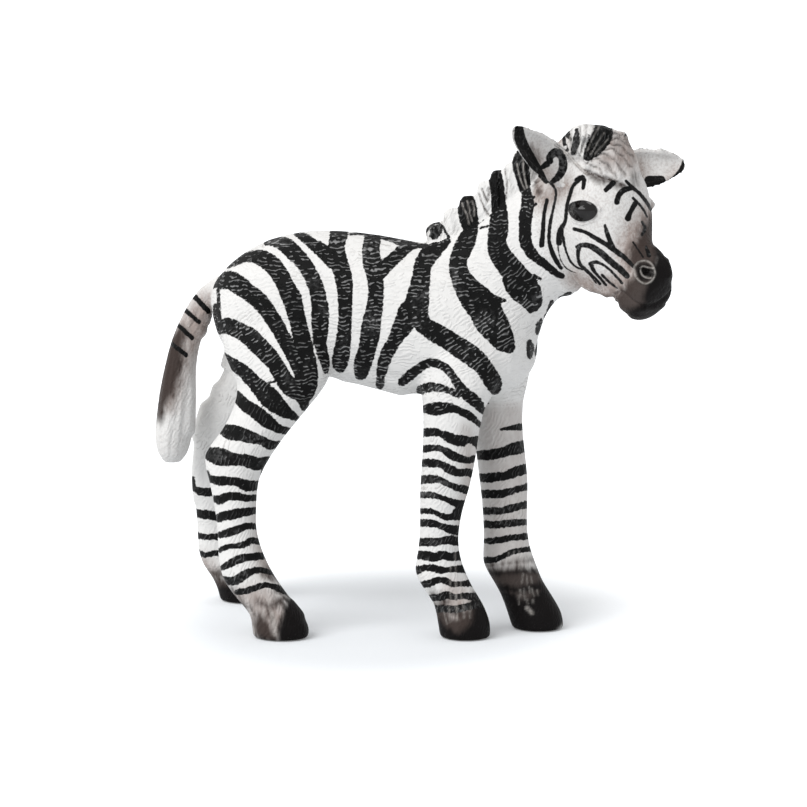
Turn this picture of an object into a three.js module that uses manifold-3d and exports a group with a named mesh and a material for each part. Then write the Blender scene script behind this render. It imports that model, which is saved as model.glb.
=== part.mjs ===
// A zebra foal toy figure in solid PVC: a trunk with its neck, and a head, two ears, a mane, a tail and
// four legs that plug into it. Millimetres, +Z up, +X towards the nose, +Y to the foal's left.
import * as THREE from 'three';
import { mergeVertices } from 'three/addons/utils/BufferGeometryUtils.js';
import Module from 'manifold-3d';

const wasm = await Module();
wasm.setup();

// Driving sizes of the trunk
const trunkLength = 38.5;
const trunkDepth = 18;
const trunkWidth = 13.6;
const backHeight = 44.4;

// Driving sizes of the neck
const neckReach = 16;
const neckRise = 12.5;
const neckDepth = 12.4;
const neckWidth = 8.4;
const neckSway = 0.6;
const neckLean = THREE.MathUtils.degToRad(35);

// Driving sizes of the head
const headLength = 16;
const headDepth = 19.4;
const headWidth = 10.4;
const headTurn = THREE.MathUtils.degToRad(-31);

// Driving sizes of the legs, measured from inside the trunk to the ground
const forelegLength = 36;
const forelegDepth = 6.2;
const forelegWidth = 5.8;
const foreTrack = 6.8;
const hindLegLength = 38;
const hindLegDepth = 8;
const hindLegWidth = 6.6;
const hindTrack = 18.2;

// Driving sizes of the tail, ears, mane and forelock
const tailLength = 21;
const tailDrift = 7.4;
const tailThickness = 4.6;
const tailAside = 1.6;
const earLength = 9.9;
const earWidth = 4.8;
const earDepth = 2.4;
const earWall = 0.6;
const maneHeight = 3.4;
const maneThickness = 2.8;
const tuftWidth = 2.1;
const lockWidth = 2.3;
const lockThickness = 2.1;

// Seats: the pegs that plug in, and the gap that the glue fills
const glueGap = 0.3;
const pegCorner = 0.4;
const pegRoot = 0.4;
const legPegLength = 3;
const legPegDepth = 3.2;
const legPegWidth = 2.4;
const headPegLength = 3.2;
const headPegDepth = 4;
const headPegWidth = 3;
const tailPegLength = 2.6;
const tailPegSize = 1.6;
const earPegLength = 1.8;
const earPegSize = 1.2;
const earPegRoot = 1.6;
const maneRibDepth = 1.2;
const maneRibWidth = 1;
const maneRibStartShare = 0.56;
const maneRibEndShare = 0.78;

// Eyes, nostrils and mouth
const eyeLength = 3.2;
const eyeHeight = 2.3;
const eyeBulge = 0.8;
const eyeTurn = THREE.MathUtils.degToRad(20);
const lidThickness = 0.36;
const nostrilRadius = 0.62;
const nostrilRim = 0.24;
const nostrilTurn = THREE.MathUtils.degToRad(46);

// How finely the forms are faceted, and how far a cutter runs past what it cuts
const trunkSides = 20;
const neckSides = 20;
const headSides = 20;
const legSides = 14;
const tailSides = 10;
const earColumns = 6;
const tuftSides = 8;
const lockSides = 6;
const roundSides = 12;
const stepsPerSpan = 2;
const overrun = 60;
const weldDistance = 0.0005;

// Side profile of the trunk from rump to chest: back and belly as shares of the depth below the back
const trunkShares = [
  { along: 0.017, top: 0.36, bottom: 0.56, width: 0.24 },
  { along: 0.046, top: 0.267, bottom: 0.717, width: 0.57 },
  { along: 0.1, top: 0.165, bottom: 0.855, width: 0.87 },
  { along: 0.18, top: 0.07, bottom: 0.93, width: 1.02 },
  { along: 0.29, top: 0.01, bottom: 0.92, width: 1.03 },
  { along: 0.4, top: 0, bottom: 0.915, width: 0.97 },
  { along: 0.52, top: 0.02, bottom: 0.955, width: 0.97 },
  { along: 0.64, top: 0.055, bottom: 1, width: 0.95 },
  { along: 0.75, top: 0.045, bottom: 1.01, width: 0.9 },
  { along: 0.85, top: 0.13, bottom: 0.99, width: 0.8 },
  { along: 0.93, top: 0.33, bottom: 0.92, width: 0.62 },
  { along: 0.972, top: 0.52, bottom: 0.79, width: 0.3 },
];
const trunkWidestShare = 0.46;
const trunkStartShare = -0.56;

// The neck's rings from its root to the head's seat: ahead and up are shares of the way between the two,
// depth and lean of the neck's depth and lean
const neckRootAlongShare = 0.714;
const neckRootDropShare = 0.467;
const neckShares = [
  { ahead: 0.134, up: -0.094, depth: 1.575, lean: 1, width: 1.22 },
  { ahead: 0.39, up: 0.076, depth: 1.397, lean: 0.93, width: 1.15 },
  { ahead: 0.547, up: 0.282, depth: 1.19, lean: 0.87, width: 1.04 },
  { ahead: 0.682, up: 0.481, depth: 1.058, lean: 0.75, width: 0.95 },
  { ahead: 0.819, up: 0.652, depth: 1.006, lean: 0.69, width: 0.9 },
  { ahead: 0.994, up: 0.792, depth: 0.996, lean: 0.65, width: 0.93 },
  { ahead: 1.202, up: 0.949, depth: 0.963, lean: 0.65, width: 0.96 },
  { ahead: 1.397, up: 1.056, depth: 0.884, lean: 0.69, width: 0.76 },
];
const neckWidestShare = 0.5;
const swayStartShare = 0.3;
const swayEndShare = 1.3;

// Brow line and jaw line of the head, as shares of its length and depth from the point between the eyes
const headAheadShare = 1.24;
const headUpShare = 0.976;
const headSwayShare = 5.8;
const headShares = [
  { brow: -0.53, browUp: 0.12, jaw: -0.55, jawUp: -0.16, width: 0.56 },
  { brow: -0.46, browUp: 0.2, jaw: -0.497, jawUp: -0.25, width: 0.74 },
  { brow: -0.352, browUp: 0.3, jaw: -0.412, jawUp: -0.37, width: 0.85 },
  { brow: -0.206, browUp: 0.35, jaw: -0.279, jawUp: -0.44, width: 0.87 },
  { brow: -0.061, browUp: 0.34, jaw: -0.145, jawUp: -0.465, width: 0.92 },
  { brow: 0.061, browUp: 0.27, jaw: -0.036, jawUp: -0.47, width: 0.9 },
  { brow: 0.158, browUp: 0.15, jaw: 0.061, jawUp: -0.483, width: 0.72 },
  { brow: 0.205, browUp: 0, jaw: 0.12, jawUp: -0.515, width: 0.55 },
  { brow: 0.255, browUp: -0.13, jaw: 0.14, jawUp: -0.55, width: 0.48 },
  { brow: 0.35, browUp: -0.23, jaw: 0.155, jawUp: -0.59, width: 0.46 },
  { brow: 0.43, browUp: -0.3, jaw: 0.2, jawUp: -0.61, width: 0.47 },
  { brow: 0.45, browUp: -0.39, jaw: 0.28, jawUp: -0.6, width: 0.43 },
  { brow: 0.415, browUp: -0.47, jaw: 0.335, jawUp: -0.565, width: 0.26 },
];
const headWidestShare = 0.57;

// Each leg from the inside of the trunk down to the sole: up and lean are shares of its length, depth and
// width of its thickness, and out of half the track
const rightForelegShares = [
  { up: 1.04, lean: 0.03, depth: 0.9, width: 0.6, out: 0.6 },
  { up: 0.92, lean: 0.025, depth: 1.5, width: 1, out: 0.9 },
  { up: 0.8, lean: 0.01, depth: 1.45, width: 1.03, out: 1.05 },
  { up: 0.72, lean: -0.008, depth: 1.16, width: 1, out: 1.1 },
  { up: 0.64, lean: -0.017, depth: 1.02, width: 0.95, out: 1.1 },
  { up: 0.55, lean: -0.026, depth: 0.97, width: 0.9, out: 1.09 },
  { up: 0.46, lean: -0.039, depth: 0.89, width: 0.86, out: 1.07 },
  { up: 0.39, lean: -0.05, depth: 0.77, width: 0.79, out: 1.06 },
  { up: 0.31, lean: -0.057, depth: 0.71, width: 0.72, out: 1.04 },
  { up: 0.25, lean: -0.058, depth: 0.79, width: 0.76, out: 1.03 },
  { up: 0.2, lean: -0.053, depth: 0.92, width: 0.84, out: 1.01 },
  { up: 0.15, lean: -0.028, depth: 0.92, width: 0.83, out: 1 },
  { up: 0.105, lean: 0.003, depth: 0.9, width: 0.83, out: 1 },
  { up: 0.05, lean: 0.021, depth: 0.95, width: 0.91, out: 1 },
  { up: 0, lean: 0.026, depth: 0.92, width: 0.93, out: 1 },
];
const leftForelegShares = [
  { up: 1.04, lean: -0.015, depth: 0.9, width: 0.6, out: 0.6 },
  { up: 0.92, lean: -0.011, depth: 1.45, width: 1, out: 0.9 },
  { up: 0.8, lean: -0.006, depth: 1.35, width: 1.03, out: 1.05 },
  { up: 0.72, lean: 0, depth: 1.06, width: 1, out: 1.1 },
  { up: 0.64, lean: 0.006, depth: 0.92, width: 0.95, out: 1.1 },
  { up: 0.55, lean: 0.017, depth: 0.9, width: 0.9, out: 1.09 },
  { up: 0.46, lean: 0.028, depth: 0.89, width: 0.86, out: 1.07 },
  { up: 0.39, lean: 0.032, depth: 0.84, width: 0.81, out: 1.06 },
  { up: 0.31, lean: 0.035, depth: 0.81, width: 0.76, out: 1.04 },
  { up: 0.25, lean: 0.04, depth: 0.87, width: 0.79, out: 1.03 },
  { up: 0.2, lean: 0.05, depth: 0.97, width: 0.86, out: 1.01 },
  { up: 0.15, lean: 0.075, depth: 0.92, width: 0.84, out: 1 },
  { up: 0.105, lean: 0.103, depth: 0.94, width: 0.84, out: 1 },
  { up: 0.05, lean: 0.13, depth: 1, width: 0.92, out: 1 },
  { up: 0, lean: 0.142, depth: 0.95, width: 0.94, out: 1 },
];
const rightHindLegShares = [
  { up: 1, lean: 0.013, depth: 1.3, width: 0.7, out: 0.3 },
  { up: 0.9, lean: -0.003, depth: 1.65, width: 1.05, out: 0.43 },
  { up: 0.81, lean: 0.005, depth: 1.6, width: 1.12, out: 0.53 },
  { up: 0.73, lean: 0.013, depth: 1.27, width: 1.09, out: 0.59 },
  { up: 0.66, lean: -0.016, depth: 1.05, width: 1.03, out: 0.65 },
  { up: 0.59, lean: -0.061, depth: 0.95, width: 0.94, out: 0.7 },
  { up: 0.52, lean: -0.108, depth: 0.95, width: 0.88, out: 0.76 },
  { up: 0.45, lean: -0.116, depth: 0.71, width: 0.79, out: 0.81 },
  { up: 0.37, lean: -0.107, depth: 0.59, width: 0.7, out: 0.87 },
  { up: 0.3, lean: -0.099, depth: 0.56, width: 0.65, out: 0.91 },
  { up: 0.23, lean: -0.083, depth: 0.66, width: 0.7, out: 0.95 },
  { up: 0.17, lean: -0.058, depth: 0.76, width: 0.76, out: 0.97 },
  { up: 0.12, lean: -0.021, depth: 0.78, width: 0.76, out: 0.98 },
  { up: 0.07, lean: 0.024, depth: 0.75, width: 0.8, out: 1 },
  { up: 0.03, lean: 0.039, depth: 0.81, width: 0.85, out: 1 },
  { up: 0, lean: 0.039, depth: 0.78, width: 0.83, out: 1 },
];
const leftHindLegShares = [
  { up: 1, lean: 0.039, depth: 1.2, width: 0.7, out: 0.3 },
  { up: 0.9, lean: 0.015, depth: 1.55, width: 1.05, out: 0.43 },
  { up: 0.81, lean: -0.026, depth: 1.55, width: 1.12, out: 0.53 },
  { up: 0.73, lean: -0.071, depth: 1.4, width: 1.09, out: 0.6 },
  { up: 0.66, lean: -0.126, depth: 1.17, width: 1.03, out: 0.66 },
  { up: 0.58, lean: -0.18, depth: 0.93, width: 0.94, out: 0.72 },
  { up: 0.5, lean: -0.218, depth: 0.8, width: 0.88, out: 0.78 },
  { up: 0.41, lean: -0.242, depth: 0.74, width: 0.82, out: 0.84 },
  { up: 0.32, lean: -0.258, depth: 0.6, width: 0.7, out: 0.89 },
  { up: 0.23, lean: -0.26, depth: 0.56, width: 0.65, out: 0.93 },
  { up: 0.16, lean: -0.253, depth: 0.61, width: 0.71, out: 0.95 },
  { up: 0.11, lean: -0.232, depth: 0.69, width: 0.76, out: 0.97 },
  { up: 0.07, lean: -0.203, depth: 0.69, width: 0.77, out: 0.98 },
  { up: 0.03, lean: -0.179, depth: 0.74, width: 0.83, out: 0.98 },
  { up: 0, lean: -0.174, depth: 0.73, width: 0.83, out: 0.98 },
];
const rightForelegAlongShare = 0.771;
const leftForelegAlongShare = 0.834;
const rightHindLegAlongShare = 0.247;
const leftHindLegAlongShare = 0.195;
const foreSeatShare = 0.7;
const hindSeatShare = 0.7;
const foreSeatTilt = THREE.MathUtils.degToRad(0);
const hindSeatTilt = THREE.MathUtils.degToRad(16);

// The tail from its root in the rump to its tip: along is a share of its length, back of its drift
const tailShares = [
  { down: -0.07, back: -0.3, thick: 0.56, aside: 0 },
  { down: 0.01, back: 0.02, thick: 0.56, aside: 0 },
  { down: 0.13, back: 0.25, thick: 0.58, aside: 0.1 },
  { down: 0.27, back: 0.43, thick: 0.62, aside: 0.3 },
  { down: 0.41, back: 0.53, thick: 0.7, aside: 0.5 },
  { down: 0.54, back: 0.58, thick: 0.84, aside: 0.7 },
  { down: 0.67, back: 0.62, thick: 0.92, aside: 0.85 },
  { down: 0.79, back: 0.66, thick: 0.92, aside: 0.95 },
  { down: 0.88, back: 0.68, thick: 0.74, aside: 1 },
  { down: 0.93, back: 0.68, thick: 0.4, aside: 1 },
];
const tailRootAlongShare = -0.005;
const tailRootDropShare = 0.43;

// A tuft of hair from its root to its blunt tip, and the mane's tufts from the withers to the poll: root is
// a share of the way up the neck, height and width of a tuft's, and ahead of its height
const tuftShares = [
  { along: 0, wide: 0.96, thick: 1 }, { along: 0.34, wide: 1, thick: 0.94 },
  { along: 0.68, wide: 0.98, thick: 0.76 }, { along: 0.9, wide: 0.8, thick: 0.5 },
  { along: 1, wide: 0.46, thick: 0.26 },
];
const maneShares = [
  { root: 0.335, height: 0.51, width: 1.35, ahead: 0.37 },
  { root: 0.45, height: 0.78, width: 1.08, ahead: 0.39 },
  { root: 0.55, height: 0.91, width: 1.18, ahead: 0.44 },
  { root: 0.652, height: 1.04, width: 1.02, ahead: 0.41 },
  { root: 0.748, height: 1.08, width: 1, ahead: 0.34 },
  { root: 0.856, height: 1, width: 0.92, ahead: 0.31 },
  { root: 0.97, height: 1.17, width: 1.24, ahead: 0.24 },
];
const tuftRootShare = 0.4;

// Where the neck is cut for the head's seat, and the ears, eyes, nostrils and mouth on the head
const headSeatShare = { ahead: -0.5, up: -0.08, out: -0.2 };
const headSeatTurnShare = 0.5;
const headSeatTilt = THREE.MathUtils.degToRad(-16);
const earRootShare = { ahead: -0.27, up: 0.175, out: 0.23 };
const rightEarPoint = { ahead: -0.05, out: 0.85, up: 0.52 };
const leftEarPoint = { ahead: 0.38, out: 0.92, up: 0.07 };
const rightEarFace = { ahead: 0.78, out: 0.3, up: 0.36 };
const leftEarFace = { ahead: 0.81, out: -0.41, up: 0.41 };
const earShares = [
  { up: -0.06, width: 0.66, depth: 0.76, wrap: 1.3, hollow: 0.05 },
  { up: 0.12, width: 0.84, depth: 0.94, wrap: 1.24, hollow: 0.12 },
  { up: 0.24, width: 0.92, depth: 1, wrap: 1.16, hollow: 0.6 },
  { up: 0.38, width: 0.98, depth: 1, wrap: 1.08, hollow: 0.96 },
  { up: 0.54, width: 0.98, depth: 0.94, wrap: 1.02, hollow: 1 },
  { up: 0.7, width: 0.83, depth: 0.8, wrap: 1, hollow: 1 },
  { up: 0.85, width: 0.6, depth: 0.6, wrap: 1, hollow: 1 },
  { up: 0.96, width: 0.38, depth: 0.34, wrap: 1, hollow: 0.9 },
  { up: 1, width: 0.18, depth: 0.16, wrap: 1, hollow: 0.6 },
];
const eyeShare = { ahead: -0.01, up: 0.005, out: 0.44 };
const nostrilShare = { ahead: 0.372, up: -0.32, out: 0.14 };
const mouthShares = [
  [0.52, -0.505], [0.36, -0.5], [0.24, -0.47], [0.235, -0.485], [0.35, -0.515], [0.52, -0.52],
];
const forelockShares = [
  { ahead: -0.55, up: 0.22, sunk: 0.16, width: 0.36 },
  { ahead: -0.45, up: 0.35, sunk: 0.24, width: 0.56 },
  { ahead: -0.32, up: 0.41, sunk: 0.26, width: 0.6 },
  { ahead: -0.18, up: 0.42, sunk: 0.26, width: 0.58 },
  { ahead: -0.06, up: 0.4, sunk: 0.24, width: 0.56 },
  { ahead: 0.05, up: 0.34, sunk: 0.2, width: 0.56 },
  { ahead: 0.12, up: 0.26, sunk: 0.15, width: 0.4 },
  { ahead: 0.16, up: 0.18, sunk: 0.12, width: 0.16 },
];
const evenWidestShare = 0.5;

// The locks of the forelock, fanned across the brow: out is at the poll, spread how far the tip swings out
const lockShares = [
  { out: -0.25, spread: -0.05, rise: 0.33, tip: -0.06, fall: 0.2 },
  { out: -0.17, spread: -0.05, rise: 0.42, tip: 0.05, fall: 0.2 },
  { out: -0.08, spread: -0.03, rise: 0.475, tip: 0.12, fall: 0.19 },
  { out: 0.01, spread: 0, rise: 0.455, tip: 0.14, fall: 0.18 },
  { out: 0.1, spread: 0.03, rise: 0.39, tip: 0.12, fall: 0.2 },
  { out: 0.19, spread: 0.05, rise: 0.3, tip: 0.05, fall: 0.2 },
];
const lockPathShares = [
  { ahead: -0.54, rise: 0.48, fall: 0, gather: 0.8, spread: 0 },
  { ahead: -0.42, rise: 0.72, fall: 0, gather: 0.45, spread: 0.1 },
  { ahead: -0.22, rise: 0.92, fall: 0, gather: 0.1, spread: 0.3 },
  { ahead: -0.08, rise: 0.98, fall: 0.06, gather: 0, spread: 0.6 },
  { ahead: -0.02, rise: 0.55, fall: 0.45, gather: 0, spread: 0.85 },
  { ahead: 0, rise: 0, fall: 1, gather: 0, spread: 1 },
];
const lockRootOutShare = -0.12;

// The two tufts of the mane that stand on the poll, behind the forelock
const crownShares = [
  { ahead: -0.53, out: -0.13, up: 0.3 },
  { ahead: -0.44, out: -0.09, up: 0.33 },
];
const crownRootShare = 0.3;
const crownMiddleShare = 0.6;

const trunkStart = trunkStartShare * trunkLength;
const alongTrunk = (share) => trunkStart + share * trunkLength;
const neckRoot = { x: alongTrunk(neckRootAlongShare), z: backHeight - neckRootDropShare * trunkDepth };

// A closed geometry as a solid that can be joined and cut
function solidOf(geometry) {
  const bare = new THREE.BufferGeometry().setAttribute('position', geometry.getAttribute('position'));
  if (geometry.index) bare.setIndex(geometry.index);
  const merged = mergeVertices(bare, weldDistance);
  const vertProperties = Float32Array.from(merged.getAttribute('position').array);
  const triVerts = Uint32Array.from(merged.index.array);
  return new wasm.Manifold(new wasm.Mesh({ numProp: 3, vertProperties, triVerts }));
}

function geometryOf(solid) {
  const { vertProperties, triVerts } = solid.getMesh();
  const geometry = new THREE.BufferGeometry();
  geometry.setAttribute('position', new THREE.BufferAttribute(Float32Array.from(vertProperties), 3));
  geometry.setIndex(new THREE.BufferAttribute(Uint32Array.from(triVerts), 1));
  geometry.computeVertexNormals();
  return geometry;
}

// A smooth run of stations through the given ones, each key on its own Catmull-Rom spline
function smoothStations(stations) {
  const last = stations.length - 1;
  const at = (index) => stations[THREE.MathUtils.clamp(index, 0, last)];
  const run = [];
  for (let span = 0; span < last; span += 1) {
    for (let step = 0; step < stepsPerSpan; step += 1) {
      const t = step / stepsPerSpan;
      const station = {};
      for (const key of Object.keys(stations[0])) {
        const [a, b, c, d] = [at(span - 1), at(span), at(span + 1), at(span + 2)].map((each) => each[key]);
        station[key] = b + 0.5 * t * (c - a + t * (2 * a - 5 * b + 4 * c - d + t * (3 * (b - c) + d - a)));
      }
      run.push(station);
    }
  }
  run.push(stations[last]);
  return run;
}

// An egg-shaped ring between two points of a side profile, widest at a share of the way up
function profileRing(low, high, halfWidth, widest, sides) {
  const centre = low.clone().lerp(high, widest);
  const down = low.clone().sub(centre);
  const up = high.clone().sub(centre);
  const ring = [];
  for (let side = 0; side < sides; side += 1) {
    const angle = (2 * Math.PI * side) / sides;
    const rise = Math.sin(angle);
    const point = centre.clone().addScaledVector(rise < 0 ? down : up, Math.abs(rise));
    point.y += halfWidth * Math.cos(angle);
    ring.push(point);
  }
  return ring;
}

// A closed skin through rings of an even number of points; each end is closed by strips straight across it
function skin(rings) {
  const sides = rings[0].length;
  const last = rings.length - 1;
  const points = rings.flat();
  const faces = [];
  for (let side = 0; side < sides; side += 1) {
    const next = (side + 1) % sides;
    for (let ring = 0; ring < last; ring += 1) {
      const [a, b] = [ring * sides + side, ring * sides + next];
      faces.push(a, b, b + sides, a, b + sides, a + sides);
    }
  }
  for (let side = 0; side < sides / 2 - 1; side += 1) {
    const corners = [side, side + 1, sides - 2 - side, sides - 1 - side];
    const [a, b, c, d] = corners;
    faces.push(c, b, a, d, c, a);
    const [e, f, g, h] = corners.map((corner) => last * sides + corner);
    faces.push(e, f, g, e, g, h);
  }
  const geometry = new THREE.BufferGeometry().setFromPoints(points);
  geometry.setIndex(faces);
  const solid = solidOf(geometry);
  if (solid.volume() > 0) return solid;
  geometry.setIndex(faces.reverse());
  return solidOf(geometry);
}

// How far the neck has swung to the foal's right at a height
function swayAt(z) {
  const from = neckRoot.z + swayStartShare * neckRise;
  const to = neckRoot.z + swayEndShare * neckRise;
  return -neckSway * THREE.MathUtils.smoothstep(z, from, to);
}

function trunkForm(grow) {
  const rings = smoothStations(trunkShares).map((s) => {
    const x = alongTrunk(s.along);
    const low = new THREE.Vector3(x, 0, backHeight - s.bottom * trunkDepth - grow);
    const high = new THREE.Vector3(x, 0, backHeight - s.top * trunkDepth + grow);
    return profileRing(low, high, (s.width * trunkWidth) / 2 + grow, trunkWidestShare, trunkSides);
  });
  return skin(rings);
}

// A ring of the neck: its middle on the way to the head's seat, and the way out from there to its crest
function neckRingAt(s) {
  const middle = new THREE.Vector3(
    THREE.MathUtils.lerp(neckRoot.x, headSeatPoint.x, s.ahead), 0,
    THREE.MathUtils.lerp(neckRoot.z, headSeatPoint.z, s.up));
  const lean = s.lean * neckLean;
  return { middle, toCrest: new THREE.Vector3(-Math.sin(lean), 0, Math.cos(lean)), half: (s.depth * neckDepth) / 2 };
}

function neckForm(grow) {
  const rings = smoothStations(neckShares).map((s) => {
    const { middle, toCrest, half } = neckRingAt(s);
    const low = middle.clone().addScaledVector(toCrest, -half - grow);
    const high = middle.addScaledVector(toCrest, half + grow);
    const ring = profileRing(low, high, (s.width * neckWidth) / 2 + grow, neckWidestShare, neckSides);
    for (const point of ring) point.y += swayAt(point.z);
    return ring;
  });
  return skin(rings);
}

// The crest of the neck at a share of the way to the head's seat, and the way out from it
function crestAt(share) {
  const run = smoothStations(neckShares);
  const next = run.findIndex((s) => s.ahead > share);
  const [from, to] = [neckRingAt(run[next - 1]), neckRingAt(run[next])];
  const part = (share - run[next - 1].ahead) / (run[next].ahead - run[next - 1].ahead);
  const top = (ring) => ring.middle.clone().addScaledVector(ring.toCrest, ring.half);
  const point = top(from).lerp(top(to), part);
  point.y = swayAt(point.z);
  return { point, out: from.toCrest.clone().lerp(to.toCrest, part).normalize() };
}

// A tuft lofted along a path: `broad` is the way that its width lies
function tuftForm(path, broad, width, thickness, sides, grow = 0) {
  const curve = new THREE.CatmullRomCurve3(path);
  const rings = tuftShares.map(({ along, wide: wideShare, thick }) => {
    const ahead = curve.getTangentAt(along);
    const thin = new THREE.Vector3().crossVectors(ahead, broad).normalize();
    const wide = new THREE.Vector3().crossVectors(thin, ahead).normalize();
    const ring = [];
    for (let side = 0; side < sides; side += 1) {
      const angle = (2 * Math.PI * side) / sides;
      const point = curve.getPointAt(along);
      point.addScaledVector(wide, Math.cos(angle) * ((wideShare * width) / 2 + grow));
      ring.push(point.addScaledVector(thin, Math.sin(angle) * ((thick * thickness) / 2 + grow)));
    }
    return ring;
  });
  return skin(rings);
}

// A leg from the inside of the trunk down to its flat sole; side is -1 for right and 1 for left
function legForm({ shares, length, depth, width, track, along, side }, grow) {
  const rings = smoothStations(shares).map((s) => {
    const x = alongTrunk(along) + s.lean * length;
    const y = side * s.out * (track / 2);
    const reach = (s.depth * depth) / 2 + grow;
    const low = new THREE.Vector3(x - reach, y, s.up * length);
    const high = new THREE.Vector3(x + reach, y, s.up * length);
    return profileRing(low, high, (s.width * width) / 2 + grow, evenWidestShare, legSides);
  });
  return skin(rings);
}

const legs = {
  right_foreleg: {
    shares: rightForelegShares, length: forelegLength, depth: forelegDepth, width: forelegWidth,
    track: foreTrack, along: rightForelegAlongShare, side: -1, seat: foreSeatShare, tilt: foreSeatTilt,
  },
  left_foreleg: {
    shares: leftForelegShares, length: forelegLength, depth: forelegDepth, width: forelegWidth,
    track: foreTrack, along: leftForelegAlongShare, side: 1, seat: foreSeatShare, tilt: foreSeatTilt,
  },
  right_hind_leg: {
    shares: rightHindLegShares, length: hindLegLength, depth: hindLegDepth, width: hindLegWidth,
    track: hindTrack, along: rightHindLegAlongShare, side: -1, seat: hindSeatShare, tilt: hindSeatTilt,
  },
  left_hind_leg: {
    shares: leftHindLegShares, length: hindLegLength, depth: hindLegDepth, width: hindLegWidth,
    track: hindTrack, along: leftHindLegAlongShare, side: 1, seat: hindSeatShare, tilt: hindSeatTilt,
  },
};

// A seat: a plane across a form, given as a frame whose +Z points out of the trunk's side of the joint
function seatFrame(x, y, z, tilt) {
  return new THREE.Matrix4().makeRotationY(tilt).setPosition(x, y, z);
}

// Everything on the +Z side of a frame, from `lift` above its plane
function beyond(frame, lift) {
  const slab = new THREE.BoxGeometry(overrun, overrun, overrun).translate(0, 0, overrun / 2 + lift);
  return solidOf(slab.applyMatrix4(frame));
}

// A keyed peg with round corners, standing on a frame's plane and pointing along its +Z
function peg(frame, deep, wide, tall, grow, root = pegRoot) {
  const [x, y, r] = [deep / 2 + grow, wide / 2 + grow, pegCorner];
  const outline = new THREE.Shape();
  outline.moveTo(-x + r, -y);
  outline.lineTo(x - r, -y);
  outline.absarc(x - r, -y + r, r, -Math.PI / 2, 0);
  outline.absarc(x - r, y - r, r, 0, Math.PI / 2);
  outline.absarc(-x + r, y - r, r, Math.PI / 2, Math.PI);
  outline.absarc(-x + r, -y + r, r, Math.PI, 1.5 * Math.PI);
  const bar = new THREE.ExtrudeGeometry(outline, {
    depth: root + tall + grow, bevelEnabled: false, curveSegments: 3,
  });
  return solidOf(bar.translate(0, 0, -root).applyMatrix4(frame));
}

// The middle of a leg's seat, from the stations on each side of it
function legSeat(leg) {
  const run = smoothStations(leg.shares);
  const at = run.reduce((best, s) => (Math.abs(s.up - leg.seat) < Math.abs(best.up - leg.seat) ? s : best));
  const x = alongTrunk(leg.along) + at.lean * leg.length;
  return seatFrame(x, leg.side * at.out * (leg.track / 2), leg.seat * leg.length, leg.tilt);
}

// The head's own frame: +X ahead, +Y to its left, the origin between the eyes
const headFrame = new THREE.Matrix4().makeRotationZ(headTurn).setPosition(
  neckRoot.x + headAheadShare * neckReach,
  -headSwayShare * neckSway,
  neckRoot.z + headUpShare * neckRise,
);
const onHead = ({ ahead, up, out = 0 }, side = 1) =>
  new THREE.Vector3(ahead * headLength, side * out * headWidth, up * headDepth);
const headSeatPoint = onHead(headSeatShare).applyMatrix4(headFrame);

function skullForm(grow) {
  const rings = smoothStations(headShares).map((s) => {
    const low = onHead({ ahead: s.jaw, up: s.jawUp });
    const high = onHead({ ahead: s.brow, up: s.browUp });
    const across = high.clone().sub(low).setLength(grow);
    return profileRing(low.sub(across), high.add(across), (s.width * headWidth) / 2 + grow,
      headWidestShare, headSides);
  });
  return skin(rings);
}

// A frame on the side of the head: +X ahead, +Y up, +Z out of the face, turned a little to the front
function faceFrame(share, side, turn) {
  const out = new THREE.Vector3(Math.sin(turn), side * Math.cos(turn), 0);
  const up = new THREE.Vector3(0, 0, 1);
  const along = new THREE.Vector3().crossVectors(up, out);
  return new THREE.Matrix4().makeBasis(along, up, out).setPosition(onHead(share, side));
}

// An eyeball in its ring of lids, half sunk in the side of the head
function eyeForm(side) {
  const frame = faceFrame(eyeShare, side, eyeTurn);
  const ball = new THREE.SphereGeometry(1, roundSides, roundSides / 2);
  ball.scale(eyeLength / 2, eyeHeight / 2, eyeBulge);
  const lids = new THREE.TorusGeometry(1, lidThickness / eyeHeight, roundSides / 2, roundSides);
  lids.scale(eyeLength / 2, eyeHeight / 2, eyeHeight / 2);
  return solidOf(ball.applyMatrix4(frame)).add(solidOf(lids.applyMatrix4(frame)));
}

function nostrilRimForm(side) {
  const rim = new THREE.TorusGeometry(nostrilRadius + nostrilRim, nostrilRim, roundSides / 2, roundSides);
  return solidOf(rim.applyMatrix4(faceFrame(nostrilShare, side, nostrilTurn)));
}

function nostrilHollow(side) {
  const hollow = new THREE.SphereGeometry(nostrilRadius, roundSides, roundSides / 2);
  return solidOf(hollow.applyMatrix4(faceFrame(nostrilShare, side, nostrilTurn)));
}

// The slit between the lips, cut right across the muzzle
function mouthSlit() {
  const outline = new THREE.Shape(mouthShares.map(([a, u]) => new THREE.Vector2(a * headLength, u * headDepth)));
  const slit = new THREE.ExtrudeGeometry(outline, { depth: headWidth, bevelEnabled: false });
  return solidOf(slit.rotateX(Math.PI / 2).translate(0, headWidth / 2, 0));
}

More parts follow.
